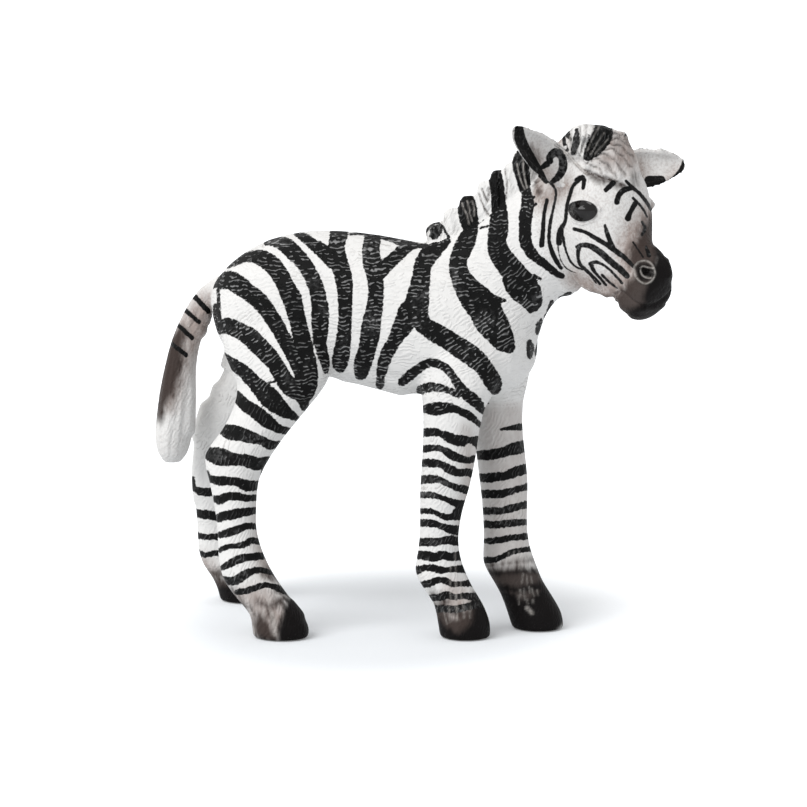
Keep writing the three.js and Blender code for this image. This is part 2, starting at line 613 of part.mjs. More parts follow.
// The pad of the forelock with its locks over it
function forelockForm(grow) {
  const rings = smoothStations(forelockShares).map((s) => {
    const low = onHead({ ahead: s.ahead - s.sunk, up: s.up - s.sunk });
    const high = onHead({ ahead: s.ahead, up: s.up });
    const across = high.clone().sub(low).setLength(grow);
    return profileRing(low.sub(across), high.add(across), (s.width * headWidth) / 2 + grow,
      evenWidestShare, tailSides);
  });
  let hair = skin(rings);
  for (const s of crownShares) {
    const path = [crownRootShare, crownMiddleShare, 1].map((part) => onHead({ ...s, up: part * s.up }));
    hair = hair.add(tuftForm(path, new THREE.Vector3(1, 0, 0), lockWidth, maneThickness, lockSides, grow));
  }
  for (const lock of lockShares) {
    const path = lockPathShares.map((s) => onHead({
      ahead: s.ahead + s.fall * lock.tip, up: s.rise * lock.rise + s.fall * lock.fall,
      out: THREE.MathUtils.lerp(lock.out, lockRootOutShare, s.gather) + s.spread * lock.spread,
    }));
    hair = hair.add(tuftForm(path, new THREE.Vector3(0, 1, 0), lockWidth, lockThickness, lockSides, grow));
  }
  return hair;
}

// The frame of an ear's root: +Y runs up the ear, and +Z is the way that its cup faces
function earFrame(side, point, face) {
  const up = new THREE.Vector3(point.ahead, side * point.out, point.up).normalize();
  const out = new THREE.Vector3(face.ahead, side * face.out, face.up);
  out.addScaledVector(up, -out.dot(up)).normalize();
  const across = new THREE.Vector3().crossVectors(up, out);
  return new THREE.Matrix4().makeBasis(across, up, out).setPosition(onHead(earRootShare, side));
}

// A leaf-shaped cup: crescent rings, wrapped round past their sides at the root and open at the tip
function earForm(frame) {
  const wallShare = 1 - earWall / (earWidth / 2);
  const rings = smoothStations(earShares).map((s) => {
    const arc = (share) => Array.from({ length: earColumns + 1 }, (unused, column) => {
      const angle = ((2 * column) / earColumns - 1) * s.wrap * (Math.PI / 2);
      return new THREE.Vector3(Math.sin(angle) * share * s.width * (earWidth / 2), s.up * earLength,
        -Math.cos(angle) * share * s.depth * (earDepth / 2));
    });
    return [...arc(1), ...arc(wallShare * s.hollow).reverse()];
  });
  return solidOf(geometryOf(skin(rings)).applyMatrix4(frame));
}

function earPeg(frame, grow) {
  const along = frame.clone().multiply(new THREE.Matrix4().makeRotationX(Math.PI / 2));
  return peg(along, earPegSize, earPegSize, earPegLength, grow, earPegRoot);
}

const inHeadFrame = (solid) => solidOf(geometryOf(solid).applyMatrix4(headFrame));

function tailForm(grow) {
  const root = { x: alongTrunk(tailRootAlongShare), z: backHeight - tailRootDropShare * trunkDepth };
  const run = smoothStations(tailShares);
  const centres = run.map((s) => new THREE.Vector3(
    root.x - s.back * tailDrift, s.aside * tailAside, root.z - s.down * tailLength));
  const rings = run.map((s, i) => {
    const ahead = centres[Math.min(i + 1, run.length - 1)].clone().sub(centres[Math.max(i - 1, 0)]);
    const across = new THREE.Vector3(ahead.z, 0, -ahead.x).setLength((s.thick * tailThickness) / 2 + grow);
    return profileRing(centres[i].clone().sub(across), centres[i].clone().add(across),
      across.length(), evenWidestShare, tailSides);
  });
  return skin(rings);
}

function tailPeg(grow) {
  const root = { x: alongTrunk(tailRootAlongShare), z: backHeight - tailRootDropShare * trunkDepth };
  const frame = new THREE.Matrix4().makeRotationY(Math.PI / 2).setPosition(root.x, 0, root.z);
  return peg(frame, tailPegSize, tailPegSize, tailPegLength, grow);
}

// The mane's tufts, which overlap along the crest of the neck
function maneForm() {
  const tufts = maneShares.map((s) => {
    const { point, out } = crestAt(s.root);
    const along = new THREE.Vector3(out.z, 0, -out.x);
    const height = s.height * maneHeight;
    const root = point.clone().addScaledVector(out, -tuftRootShare * maneHeight);
    const tip = point.clone().addScaledVector(out, height).addScaledVector(along, s.ahead * height);
    return tuftForm([root, point, tip], along, s.width * tuftWidth, maneThickness, tuftSides);
  });
  return tufts.reduce((mane, tuft) => mane.add(tuft));
}

// The rib under the mane, which sits in a slot along the crest of the neck
function maneRib(grow) {
  const from = crestAt(maneRibStartShare).point;
  const to = crestAt(maneRibEndShare).point;
  const bar = new THREE.BoxGeometry(to.x - from.x + 2 * grow, maneRibWidth + 2 * grow, overrun);
  bar.translate((from.x + to.x) / 2, (from.y + to.y) / 2, (from.z + to.z) / 2 + overrun / 2 - neckDepth / 2);
  return solidOf(bar).intersect(neckForm(2 * glueGap)).subtract(neckForm(-maneRibDepth - grow));
}

// The seat of the head on the neck, looking ahead out of the neck
const headSeat = new THREE.Matrix4()
  .makeRotationZ(headSeatTurnShare * headTurn)
  .multiply(new THREE.Matrix4().makeRotationY(Math.PI / 2 + headSeatTilt))
  .setPosition(headSeatPoint);

function buildSolids() {
  const neck = neckForm(0);
  const skull = inHeadFrame(skullForm(0));
  const solids = {};

  // Legs: each is cut at its seat, and the trunk keeps what is above
  let trunk = trunkForm(0).add(neck);
  for (const [name, leg] of Object.entries(legs)) {
    const seat = legSeat(leg);
    const form = legForm(leg, 0);
    solids[name] = form.subtract(beyond(seat, 0)).add(peg(seat, legPegDepth, legPegWidth, legPegLength, 0));
    trunk = trunk.add(form.intersect(beyond(seat, glueGap)));
  }
  for (const leg of Object.values(legs)) {
    const seat = legSeat(leg);
    trunk = trunk.subtract(legForm(leg, glueGap).subtract(beyond(seat, glueGap)));
    trunk = trunk.subtract(peg(seat, legPegDepth, legPegWidth, legPegLength, glueGap));
  }

  // The neck ends at the head's seat, with a socket for the head's peg
  const headPegFrame = headSeat.clone().multiply(new THREE.Matrix4().makeRotationX(Math.PI));
  trunk = trunk.add(skull).subtract(beyond(headSeat, -glueGap));
  trunk = trunk.subtract(peg(headPegFrame, headPegDepth, headPegWidth, headPegLength, glueGap));

  // The head: the skull ahead of its seat, with its forelock and face
  let head = skull.add(neck).add(inHeadFrame(forelockForm(0))).intersect(beyond(headSeat, 0));
  head = head.add(peg(headPegFrame, headPegDepth, headPegWidth, headPegLength, 0));
  for (const side of [-1, 1]) {
    head = head.add(inHeadFrame(eyeForm(side))).add(inHeadFrame(nostrilRimForm(side)));
    head = head.subtract(inHeadFrame(nostrilHollow(side)));
  }
  head = head.subtract(inHeadFrame(mouthSlit()));

  // Ears: each cup stands on the skull, with its peg in a socket
  const ears = {
    right_ear: earFrame(-1, rightEarPoint, rightEarFace),
    left_ear: earFrame(1, leftEarPoint, leftEarFace),
  };
  const clear = skullForm(glueGap).add(forelockForm(glueGap));
  for (const [name, frame] of Object.entries(ears)) {
    const cup = earForm(frame).subtract(clear).add(earPeg(frame, 0));
    solids[name] = inHeadFrame(cup);
    head = head.subtract(inHeadFrame(earPeg(frame, glueGap)));
  }

  // The mane sits astride the crest, and the tail plugs into the rump
  const crest = maneForm().subtract(beyond(headSeat, -glueGap));
  solids.mane = crest.subtract(neckForm(glueGap)).subtract(trunkForm(glueGap)).add(maneRib(0));
  trunk = trunk.subtract(maneRib(glueGap));
  solids.tail = tailForm(0).subtract(trunkForm(glueGap)).add(tailPeg(0));
  solids.trunk = trunk.subtract(tailPeg(glueGap));
  solids.head = head;
  return solids;
}

const colours = {
  trunk: 0xe9e6e2, head: 0xd9d2cd, right_ear: 0xd6d2cf, left_ear: 0xd6d2cf, mane: 0x1a1818, tail: 0xcbc2bc,
  right_foreleg: 0xe4e1dd, left_foreleg: 0xd2ccc9, right_hind_leg: 0xe4e1dd, left_hind_leg: 0xd8d3cf,
};
const roughness = 0.55;

const figure = new THREE.Group();
const solids = buildSolids();
for (const [name, solid] of Object.entries(solids)) {
  const material = new THREE.MeshStandardMaterial({ color: colours[name], roughness, metalness: 0 });
  const mesh = new THREE.Mesh(geometryOf(solid), material);
  mesh.name = name;
  figure.add(mesh);
}

// The origin is on the ground under the middle of the figure
const box = new THREE.Box3().setFromObject(figure);
figure.position.set(-(box.min.x + box.max.x) / 2, -(box.min.y + box.max.y) / 2, -box.min.z);

export default figure;
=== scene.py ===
# %% [markdown]
# # A moulded toy zebra foal
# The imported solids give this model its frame: where each leg, ear and tuft of hair sits, and how big it is.
# This notebook puts a moulded skin over them, paints it, and sets it on a pale floor in soft light.

import math
import bmesh
import bpy
import numpy as np
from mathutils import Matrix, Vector
from mathutils.bvhtree import BVHTree


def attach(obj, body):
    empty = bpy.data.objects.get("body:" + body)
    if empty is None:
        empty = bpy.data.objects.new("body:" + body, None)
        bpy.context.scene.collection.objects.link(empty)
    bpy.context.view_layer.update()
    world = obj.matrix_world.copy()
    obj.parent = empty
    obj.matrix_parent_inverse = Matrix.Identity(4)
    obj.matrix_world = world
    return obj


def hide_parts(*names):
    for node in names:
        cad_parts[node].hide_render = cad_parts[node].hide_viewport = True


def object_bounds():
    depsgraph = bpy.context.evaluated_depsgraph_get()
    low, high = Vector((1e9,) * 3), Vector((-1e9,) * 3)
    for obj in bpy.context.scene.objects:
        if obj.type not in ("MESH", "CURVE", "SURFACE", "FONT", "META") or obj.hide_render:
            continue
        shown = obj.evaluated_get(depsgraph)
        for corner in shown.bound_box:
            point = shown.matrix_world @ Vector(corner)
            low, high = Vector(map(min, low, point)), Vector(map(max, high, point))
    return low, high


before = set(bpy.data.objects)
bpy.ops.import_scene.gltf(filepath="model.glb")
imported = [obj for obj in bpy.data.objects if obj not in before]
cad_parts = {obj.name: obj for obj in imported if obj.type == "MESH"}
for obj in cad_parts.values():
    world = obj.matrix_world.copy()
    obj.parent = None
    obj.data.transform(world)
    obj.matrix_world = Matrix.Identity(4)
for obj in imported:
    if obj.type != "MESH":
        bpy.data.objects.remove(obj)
solid_box = [list(corner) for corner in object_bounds()]
millimetre = 0.001
print("solids:", sorted(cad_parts))

# %% [markdown]
# ## The camera
# The toy was photographed with a long lens from a little above its back, so it shows hardly any
# perspective. A long lens far away does the same here. It comes first, because the painted stripes are laid
# out as it sees them.

# %% Place the camera
picture_width = 807
focal_pixels = 4050
camera_azimuth = math.radians(16)
camera_elevation = math.radians(9)
camera_distance = 450 * millimetre
camera_target = Vector((-0.93, 0.118, 25.3)) * millimetre
sensor_width = 36
nearest_share = 0.05
farthest_share = 40
towards_camera = Vector((
    math.sin(camera_azimuth) * math.cos(camera_elevation),
    -math.cos(camera_azimuth) * math.cos(camera_elevation),
    math.sin(camera_elevation),
))
camera_data = bpy.data.cameras.new("long_lens")
camera_data.sensor_width = sensor_width
camera_data.lens = focal_pixels / picture_width * sensor_width
camera_data.clip_start = camera_distance * nearest_share
camera_data.clip_end = camera_distance * farthest_share
camera = bpy.data.objects.new("long_lens", camera_data)
camera.location = camera_target + towards_camera * camera_distance
camera.rotation_mode = "QUATERNION"
camera.rotation_quaternion = (-towards_camera).to_track_quat("-Z", "Y")
bpy.context.scene.collection.objects.link(camera)
bpy.context.scene.camera = camera
print("lens", round(camera_data.lens, 1), "mm")


# %% [markdown]
# ## From a point on the toy to a point in the picture
# The stripes are written down as strokes of a brush, in pixels of the picture, with the width of each. This
# helper says at which pixel a point of the toy is seen, so that a stroke can be found on the skin.

# %% See points as the camera does
camera_right = np.array((math.cos(camera_azimuth), math.sin(camera_azimuth), 0))
camera_up = np.cross(np.array(towards_camera), camera_right)


def seen_at(points):
    away = points - np.array(camera.location)
    depth = -(away @ np.array(towards_camera))
    across = picture_width / 2 + focal_pixels * (away @ camera_right) / depth
    down = picture_width / 2 - focal_pixels * (away @ camera_up) / depth
    return np.stack([across, down], axis=1)


low, high = (np.array(corner) for corner in solid_box)
print("box seen at", seen_at(np.array([low, high])).round(1).tolist())

# %% [markdown]
# ## One skin over all the solids
# A vinyl toy is cast in a mould, so its legs flow into its body without an edge. The solids are separate
# pieces with a glue gap between them. Here their copies are grown until the gaps close, and a voxel remesh
# makes one even skin of them, which can be softened and carved like clay.

# %% Join grown copies of the solids
body_nodes = sorted(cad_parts)
weld_distance = 0.002 * millimetre
skin_growth = 0.17 * millimetre
clay = bmesh.new()
owner_layer = clay.faces.layers.int.new("owner")
for order, node in enumerate(body_nodes):
    already = len(clay.faces)
    clay.from_mesh(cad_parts[node].data)
    clay.faces.ensure_lookup_table()
    for face in clay.faces[already:]:
        face[owner_layer] = order
bmesh.ops.remove_doubles(clay, verts=clay.verts, dist=weld_distance)
clay.normal_update()
clay.faces.ensure_lookup_table()
face_owner = [face[owner_layer] for face in clay.faces]
solid_tree = BVHTree.FromBMesh(clay)
print(len(clay.verts), "points on the solids")

for point in clay.verts:
    point.co += point.normal * skin_growth
clay_mesh = bpy.data.meshes.new("clay")
clay.to_mesh(clay_mesh)
clay.free()

# %% Remesh them to one skin
voxel = 0.2 * millimetre
clay_object = bpy.data.objects.new("clay", clay_mesh)
bpy.context.scene.collection.objects.link(clay_object)
remesh = clay_object.modifiers.new("even_skin", "REMESH")
remesh.mode = "VOXEL"
remesh.voxel_size = voxel
remesh.use_smooth_shade = True


def applied_mesh(piece):
    evaluated = piece.evaluated_get(bpy.context.evaluated_depsgraph_get())
    return bpy.data.meshes.new_from_object(evaluated)


skin_mesh = applied_mesh(clay_object)
bpy.data.objects.remove(clay_object)
print(len(skin_mesh.vertices), "points in the skin")

# %% Keep only the outer skin
skin = bmesh.new()
skin.from_mesh(skin_mesh)


def islands(shape):
    left = set(shape.verts)
    found = []
    while left:
        start = left.pop()
        island = [start]
        edge_of_search = [start]
        while edge_of_search:
            point = edge_of_search.pop()
            for edge in point.link_edges:
                other = edge.other_vert(point)
                if other in left:
                    left.discard(other)
                    island.append(other)
                    edge_of_search.append(other)
        found.append(island)
    return sorted(found, key=len)


for hidden in islands(skin)[:-1]:
    bmesh.ops.delete(skin, geom=hidden, context="VERTS")
skin.to_mesh(skin_mesh)
skin.free()
print(len(skin_mesh.vertices), "points on the outside")


# %% [markdown]
# ## Which solid each point belongs to
# The skin has to come apart again into the toy's own pieces, so each point takes the name of its nearest
# solid.

# %% Name the skin's points
def points_of(mesh):
    flat = np.empty(len(mesh.vertices) * 3, np.float32)
    mesh.vertices.foreach_get("co", flat)
    return flat.reshape(-1, 3).astype(float)


def normals_of(mesh):
    flat = np.empty(len(mesh.vertices) * 3, np.float32)
    mesh.vertex_normals.foreach_get("vector", flat)
    return flat.reshape(-1, 3).astype(float)


def move_points(mesh, points):
    mesh.vertices.foreach_set("co", points.astype(np.float32).ravel())
    mesh.update()


def owners_of(points):
    return np.array([face_owner[solid_tree.find_nearest(Vector(p))[2]] for p in points])


owner = owners_of(points_of(skin_mesh))
print({node: int((owner == order).sum()) for order, node in enumerate(body_nodes)})

# %% [markdown]
# ## A finer skin where the detail is
# The face, the ears and the hair carry finer work than the body. There each face of the skin is divided in
# four, so that an eyelid or a lock can be carved. The rest stays coarse, as does the far side of the head,
# which keeps the model light.

# %% Divide the skin of the head, ears and hair
fine_nodes = ["head", "left_ear", "right_ear", "mane", "tail"]
turned_away = -0.3


def on_pieces(nodes):
    return np.isin(owner, [body_nodes.index(node) for node in nodes])


looks_away = normals_of(skin_mesh) @ np.array(towards_camera) < turned_away
is_fine = on_pieces(fine_nodes) & ~(looks_away & on_pieces(["head"]))
skin = bmesh.new()
skin.from_mesh(skin_mesh)
fine_edges = [edge for edge in skin.edges if all(is_fine[point.index] for point in edge.verts)]
bmesh.ops.subdivide_edges(skin, edges=fine_edges, cuts=1, use_grid_fill=True)
skin.to_mesh(skin_mesh)
skin.free()
owner = owners_of(points_of(skin_mesh))
of_node = {node: owner == order for order, node in enumerate(body_nodes)}
print(len(skin_mesh.vertices), "points after dividing")

# %% [markdown]
# ## Soften and shrink back
# Smoothing rounds the corners where a leg meets the body, as the mould does. The mane keeps its edges more
# than the rest does, and the tail is rounded most. Then the skin moves back in by as much as it was grown.

# %% Soften the skin
softness = {"head": 0.8, "mane": 0.5, "tail": 1.2, "left_ear": 0.9, "right_ear": 0.9}
softening_rounds = 14
blending_rounds = 10
smoothing_step = 0.5
soft_share = np.array([softness.get(node, 1) for node in body_nodes])[owner]
edge_ends = np.empty(len(skin_mesh.edges) * 2, np.int32)
skin_mesh.edges.foreach_get("vertices", edge_ends)
edge_ends = edge_ends.reshape(-1, 2)


def neighbour_mean(values, edges):
    total = np.zeros_like(values)
    count = np.bincount(edges.ravel(), minlength=len(values))
    for axis in range(values.shape[1]):
        total[:, axis] = np.bincount(edges[:, 0], values[edges[:, 1], axis], len(values))
        total[:, axis] += np.bincount(edges[:, 1], values[edges[:, 0], axis], len(values))
    return total / np.maximum(count, 1)[:, None]


def softened(values, share, rounds):
    there, edges = np.unique(edge_ends[(share[edge_ends] > 0).any(axis=1)], return_inverse=True)
    edges = edges.reshape(-1, 2)
    part = values[there]
    for _ in range(rounds):
        part = part + (neighbour_mean(part, edges) - part) * share[there, None] * smoothing_step
    values = values.copy()
    values[there] = part
    return values


everywhere = np.ones(len(owner))
soft_share = softened(soft_share[:, None].astype(float), everywhere, blending_rounds)[:, 0]
skin_points = softened(points_of(skin_mesh), soft_share, softening_rounds)
move_points(skin_mesh, skin_points)
skin_points = skin_points - normals_of(skin_mesh) * skin_growth
move_points(skin_mesh, skin_points)
print("skin box", skin_points.min(0), skin_points.max(0))

# %% [markdown]
# ## Strokes of the stripe brush
# Each stripe of the toy is a few strokes of black paint, no two alike. A stroke is written here as points
# along its middle, each with the brush's width there, all in pixels of the picture. Between the points it
# is rounded.

# %% Measure how far a point is from a brush stroke
stroke_turns = 3
far_from_paint = 60
stroke_reach = 16


def rounded_stroke(stroke):
    ends = np.array([stroke[0], *stroke, stroke[-1]], float)
    line = []
    for before, start, end, after in zip(ends, ends[1:], ends[2:], ends[3:]):
        for share in np.arange(stroke_turns) / stroke_turns:
            bend = 2 * before - 5 * start + 4 * end - after
            twist = 3 * start - 3 * end + after - before
            line.append(start + share * ((end - before) + share * (bend + share * twist)) / 2)
    return np.array([*line, ends[-1]])


def paint_distance(spots, strokes):
    distance = np.full(len(spots), float(far_from_paint))
    for stroke in strokes:
        line = rounded_stroke(stroke) if len(stroke) > 2 else np.array(stroke, float)
        for start, end in zip(line, line[1:]):
            middle = (start[:2] + end[:2]) / 2
            reach = np.abs(end[:2] - start[:2]).max() / 2 + max(start[2], end[2]) / 2 + stroke_reach
            near = np.nonzero(np.abs(spots - middle).max(1) < reach)[0]
            run = end[:2] - start[:2]
            share = np.clip((spots[near] - start[:2]) @ run / (run @ run), 0, 1)
            gap = np.hypot(*(spots[near] - start[:2] - share[:, None] * run).T)
            edge = gap - (start[2] + (end[2] - start[2]) * share) / 2
            distance[near] = np.minimum(distance[near], edge)
    return distance


def airbrush(spots, strokes, softness):
    if not strokes:
        return np.zeros(len(spots))
    share = np.clip(0.5 - paint_distance(spots, strokes) / softness, 0, 1)
    return share * share * (3 - 2 * share)


print("a stroke is felt", stroke_reach, "pixels around, and one never painted counts as", far_from_paint)

# %% [markdown]
# ## The far side
# The photograph shows one side. The other is made as its mirror image, as such a toy is: points of the body
# beyond its middle are looked up at their mirror points. The head is turned, so it has a middle of its own.
# The far legs stand apart from the near ones, so their outer sides get bands of their own further down.

# %% Look up every point in the picture
body_middle = 0.118 * millimetre
head_centre = np.array((23.859, -3.362, 48.194)) * millimetre
head_turn = math.radians(-31)
head_left = np.array((-math.sin(head_turn), math.cos(head_turn), 0))


def look_up(points, normals):
    found = seen_at(points)
    beyond = of_node["trunk"] & (points[:, 1] > body_middle)
    across_body = points * (1, -1, 1) + (0, 2 * body_middle, 0)
    found[beyond] = seen_at(across_body)[beyond]
    head_side = (points - head_centre) @ head_left
    hidden = of_node["head"] & (head_side > 0) & (normals @ np.array(towards_camera) < 0)
    across_head = points - 2 * head_side[:, None] * head_left
    found[hidden] = seen_at(across_head)[hidden]
    return found, hidden


skin_points = points_of(skin_mesh)
skin_normals = normals_of(skin_mesh)
spots, hidden_face = look_up(skin_points, skin_normals)
print(int(hidden_face.sum()), "points of the face are out of sight")

# %% [markdown]
# ## Carve the face and the hair
# The lids, the nostril, the mouth and the locks are lines that the sculptor drew with a fine tool, so they
# are carved as strokes too. A line is raised or cut along its middle, or along the edge of a wider stroke.
# Before that the skin is smoothed under the eye and the nostril, and a little at three corners of the face.
# In the plan each row names a piece, strokes, how far from their middle the line lies and its width, both
# in pixels, and how high it rises or how deep it cuts in millimetres. A thin line's own stroke has no
# width.

# %% Carving strokes of the face
eye_shape = [(571, 207, 3), (574, 208.5, 12.5), (579, 210.5, 20), (583, 211, 21.5), (588, 211, 18),
             (592, 210.5, 11), (596, 209.5, 2)]
upper_lid = [(568, 208, 0), (572, 202, 0), (579, 198.5, 0), (586, 199, 0), (592, 203, 0), (599, 209, 0)]
lid_crease = [(569, 200, 0), (576, 195, 0), (585, 194.5, 0), (594, 199, 0), (600, 205, 0)]
lower_lid = [(569, 212, 0), (574, 219, 0), (582, 223.5, 0), (590, 221, 0), (597, 213, 0)]
nostril_bed = [(644, 271.5, 17), (645, 273, 17)]
nostril_ring = [(644, 260.5, 0), (650, 262.5, 0), (654, 268, 0), (655, 275, 0), (651, 281.5, 0),
                (645, 283.5, 0), (639, 280.5, 0), (635, 275, 0), (634, 268, 0), (638, 262.5, 0),
                (644, 260.5, 0)]
nostril_curl = [(653, 268.5, 0), (647, 267, 0), (642, 266.5, 0), (640.5, 270, 0), (642, 275, 0),
                (646, 277.5, 0), (651, 278, 0)]
nostril_tongue = [(654, 273, 0), (648, 271.5, 0), (644, 271, 0)]
mouth_line = [(617, 300, 0), (616.5, 295, 0), (619, 292, 0), (624, 293.5, 0), (630, 299, 0), (636, 303.5, 0),
              (645, 306, 0), (655, 304.5, 0), (664, 299, 0), (672, 291, 0)]
lower_lip = [(621, 297, 0), (627, 302, 0), (634, 307.5, 0), (645, 310, 0), (656, 308, 0)]
jaw_folds = [
    [(572, 272, 0), (577, 277, 0), (574, 283, 0)],
    [(580, 277, 0), (586, 283, 0), (584, 290, 0)],
    [(590, 284, 0), (595, 291, 0)],
    [(599, 289, 0), (605, 293, 0), (611, 294, 0)],
]
brow_groove = [(585, 171, 0), (592, 174, 0), (600, 177, 0), (609, 179.5, 0), (618, 183, 0), (627, 188, 0)]
ear_rim = [(541, 137, 0), (552, 140, 0), (560, 147, 0), (568, 156, 0), (577, 165, 0), (587, 174, 0)]
ear_foot = [(549, 184, 0), (558, 184, 0), (568, 182, 0), (578, 177, 0), (587, 175, 0)]
ear_line = [(556, 145, 0), (566, 152, 0), (572, 159, 0), (580, 168, 0), (587, 174, 0)]
print("nostril ring of", len(nostril_ring), "points")

# %% Carving strokes of the forelock
forelock_grooves = [
    [(563, 134, 0), (564, 142, 0), (566, 150, 0)],
    [(571, 130, 0), (571, 141, 0), (570, 151, 0)],
    [(580, 127, 0), (580, 140, 0), (575, 155, 0)],
    [(587, 125, 0), (585, 139, 0), (580, 156, 0)],
    [(594, 124, 0), (590, 138, 0), (584, 158, 0)],
    [(600, 125, 0), (595, 140, 0), (588, 158, 0)],
    [(605, 128, 0), (600, 141, 0), (592, 157, 0)],
    [(609, 131, 0), (604, 143, 0), (597, 154, 0)],
    [(612, 134, 0), (622, 135, 0), (632, 143, 0)],
    [(610, 139, 0), (621, 140, 0), (634, 150, 0)],
    [(607, 144, 0), (618, 145, 0), (630, 154, 0), (636, 160, 0)],
    [(603, 149, 0), (614, 150, 0), (624, 158, 0), (632, 168, 0)],
    [(598, 154, 0), (609, 156, 0), (618, 164, 0), (626, 176, 0)],
    [(592, 159, 0), (602, 161, 0), (610, 168, 0), (617, 178, 0)],
    [(587, 163, 0), (594, 166, 0), (602, 172, 0)],
]
wave_height = 1.2
wave_turn = 1.9
straight_grooves = 8


def wavy(stroke):
    line = rounded_stroke(stroke)
    line[:, 1] += wave_height * np.sin(np.arange(len(line)) * wave_turn + stroke[0][0])
    return line


forelock_grooves[straight_grooves:] = [wavy(stroke) for stroke in forelock_grooves[straight_grooves:]]
print(len(forelock_grooves), "grooves in the forelock")

# %% Carving strokes of the mane and the tail
mane_grooves = [
    [(461, 203, 0), (467, 215, 0), (470, 226, 0)],
    [(467, 200, 0), (471, 213, 0), (472, 224, 0)],
    [(473, 200, 0), (474, 213, 0), (474, 222, 0)],
    [(479, 194, 0), (483, 205, 0), (489, 215, 0)],
    [(491, 180, 0), (494, 195, 0), (495, 208, 0)],
    [(498, 175, 0), (500, 192, 0), (500, 206, 0)],
    [(505, 170, 0), (507, 183, 0), (506, 199, 0)],
    [(514, 164, 0), (517, 177, 0), (521, 191, 0)],
    [(520, 158, 0), (521, 172, 0), (525, 188, 0)],
    [(526, 155, 0), (527, 168, 0), (529, 183, 0)],
    [(482, 189, 0), (485, 196, 0), (488, 202, 0)],
    [(489, 188, 0), (489, 195, 0), (488, 202, 0)],
]
tail_grooves = [
    [(197, 300, 0), (185, 322, 0), (177, 350, 0), (173, 380, 0), (168, 410, 0)],
    [(203, 303, 0), (192, 326, 0), (184, 352, 0), (181, 384, 0), (176, 420, 0)],
    [(208, 308, 0), (198, 330, 0), (191, 356, 0), (188, 386, 0), (184, 420, 0), (178, 450, 0)],
    [(196, 350, 0), (193, 375, 0), (194, 396, 0), (190, 430, 0), (183, 470, 0)],
    [(175, 345, 0), (170, 370, 0), (166, 400, 0), (160, 440, 0), (160, 470, 0)],
    [(173, 430, 0), (170, 455, 0), (170, 490, 0)],
]
print(len(mane_grooves), "grooves in the mane and", len(tail_grooves), "in the tail")

# %% Light strands of the hair
light_strands = [
    [(599, 127, 0), (593, 138, 0), (587, 151, 0)],
    [(604, 133, 0), (598, 142, 0), (591, 154, 0)],
    [(608, 139, 0), (602, 146, 0), (595, 154, 0)],
    [(570, 136, 0), (570, 142, 0), (569, 149, 0)],
    [(462, 203, 0), (464, 209, 0), (467, 215, 0), (469, 224, 0)],
    [(467, 201, 0), (469, 208, 0), (470, 214, 0), (472, 221, 0)],
    [(472, 201, 0), (474, 208, 0), (474, 216, 0)],
    [(517, 164, 0), (520, 178, 0), (526, 192, 0)],
    [(523, 160, 0), (524, 174, 0), (527, 188, 0)],
]
print(len(light_strands), "light strands")

# %% Smooth the beds of eye and nostril
corners = [
    [(574, 285, 8), (590, 287, 8)],
    [(619, 130, 6), (628, 138, 6)],
    [(654, 198, 6), (656, 208, 6)],
]
corner_softness = 14
corner_share = 0.3
nostril_softness = 24
eye_softness = 12
bed_rounds = 240
to_smooth = airbrush(spots, [nostril_bed], nostril_softness) + airbrush(spots, [eye_shape], eye_softness)
to_smooth = np.clip(to_smooth + airbrush(spots, corners, corner_softness) * corner_share, 0, 1)
of_throat = of_node["trunk"] & (airbrush(spots, corners[:1], corner_softness) > 0)
skin_points = softened(skin_points, to_smooth * (of_node["head"] | of_throat), bed_rounds)
print("smoothed:", int((to_smooth > 0).sum()), "points")


# %% Raise and cut the strokes
def ridge(strokes, offset, width):
    return np.exp(-((paint_distance(spots, strokes) - offset) / width) ** 2)


carving_plan = [
    ("head", [upper_lid], 0, 1.9, 0.17),
    ("head", [lid_crease], 0, 1.6, -0.08),
    ("head", [lower_lid], 0, 1.6, 0.1),
    ("head", [eye_shape], -10, 7, 0.5),
    ("head", [eye_shape], 0.5, 0.9, -0.12),
    ("head", [nostril_bed], -5, 5, -0.32),
    ("head", [nostril_ring], 0, 1.3, 0.2),
    ("head", [nostril_curl], 0, 1.2, 0.24),
    ("head", [nostril_tongue], 0, 1, 0.18),
    ("head", [mouth_line], 0, 1.5, -0.22),
    ("head", [lower_lip], 0, 3, 0.1),
    ("head", jaw_folds, 0, 1.8, 0.09),
    ("head", [brow_groove], 0, 2, -0.26),
    ("head", [ear_rim, ear_foot], 0, 1.6, 0.12),
    ("head", forelock_grooves, 0, 1.2, -0.2),
    ("mane", mane_grooves, 0, 1.2, -0.2),
    ("tail", tail_grooves, 0, 1.8, -0.05),
]
relief = np.zeros(len(owner))
for node, strokes, offset, width, height in carving_plan:
    relief += ridge(strokes, offset, width) * of_node[node] * height * millimetre
side_on_fade = 4
turned_to_us = np.clip(np.abs(skin_normals @ np.array(towards_camera)) * side_on_fade, 0, 1)
relief = relief * turned_to_us
print("cut", round(relief.min() / millimetre, 2), "mm, raised", round(relief.max() / millimetre, 2), "mm")

# %% [markdown]
# ## Swell the outline where the figure is fuller
# The real figure is a little fuller than the solids at nose, jaw, belly and hind leg. An inflate brush
# could do that by hand. Here a swelling is a stroke with a soft edge that lifts the skin under it, so that
# its place can be read and changed, and it fades where the skin passes to the next piece. Each row names a
# piece, a stroke, how soft its edge is in pixels, and by how many millimetres it lifts the skin. A number
# below 0 lowers it.

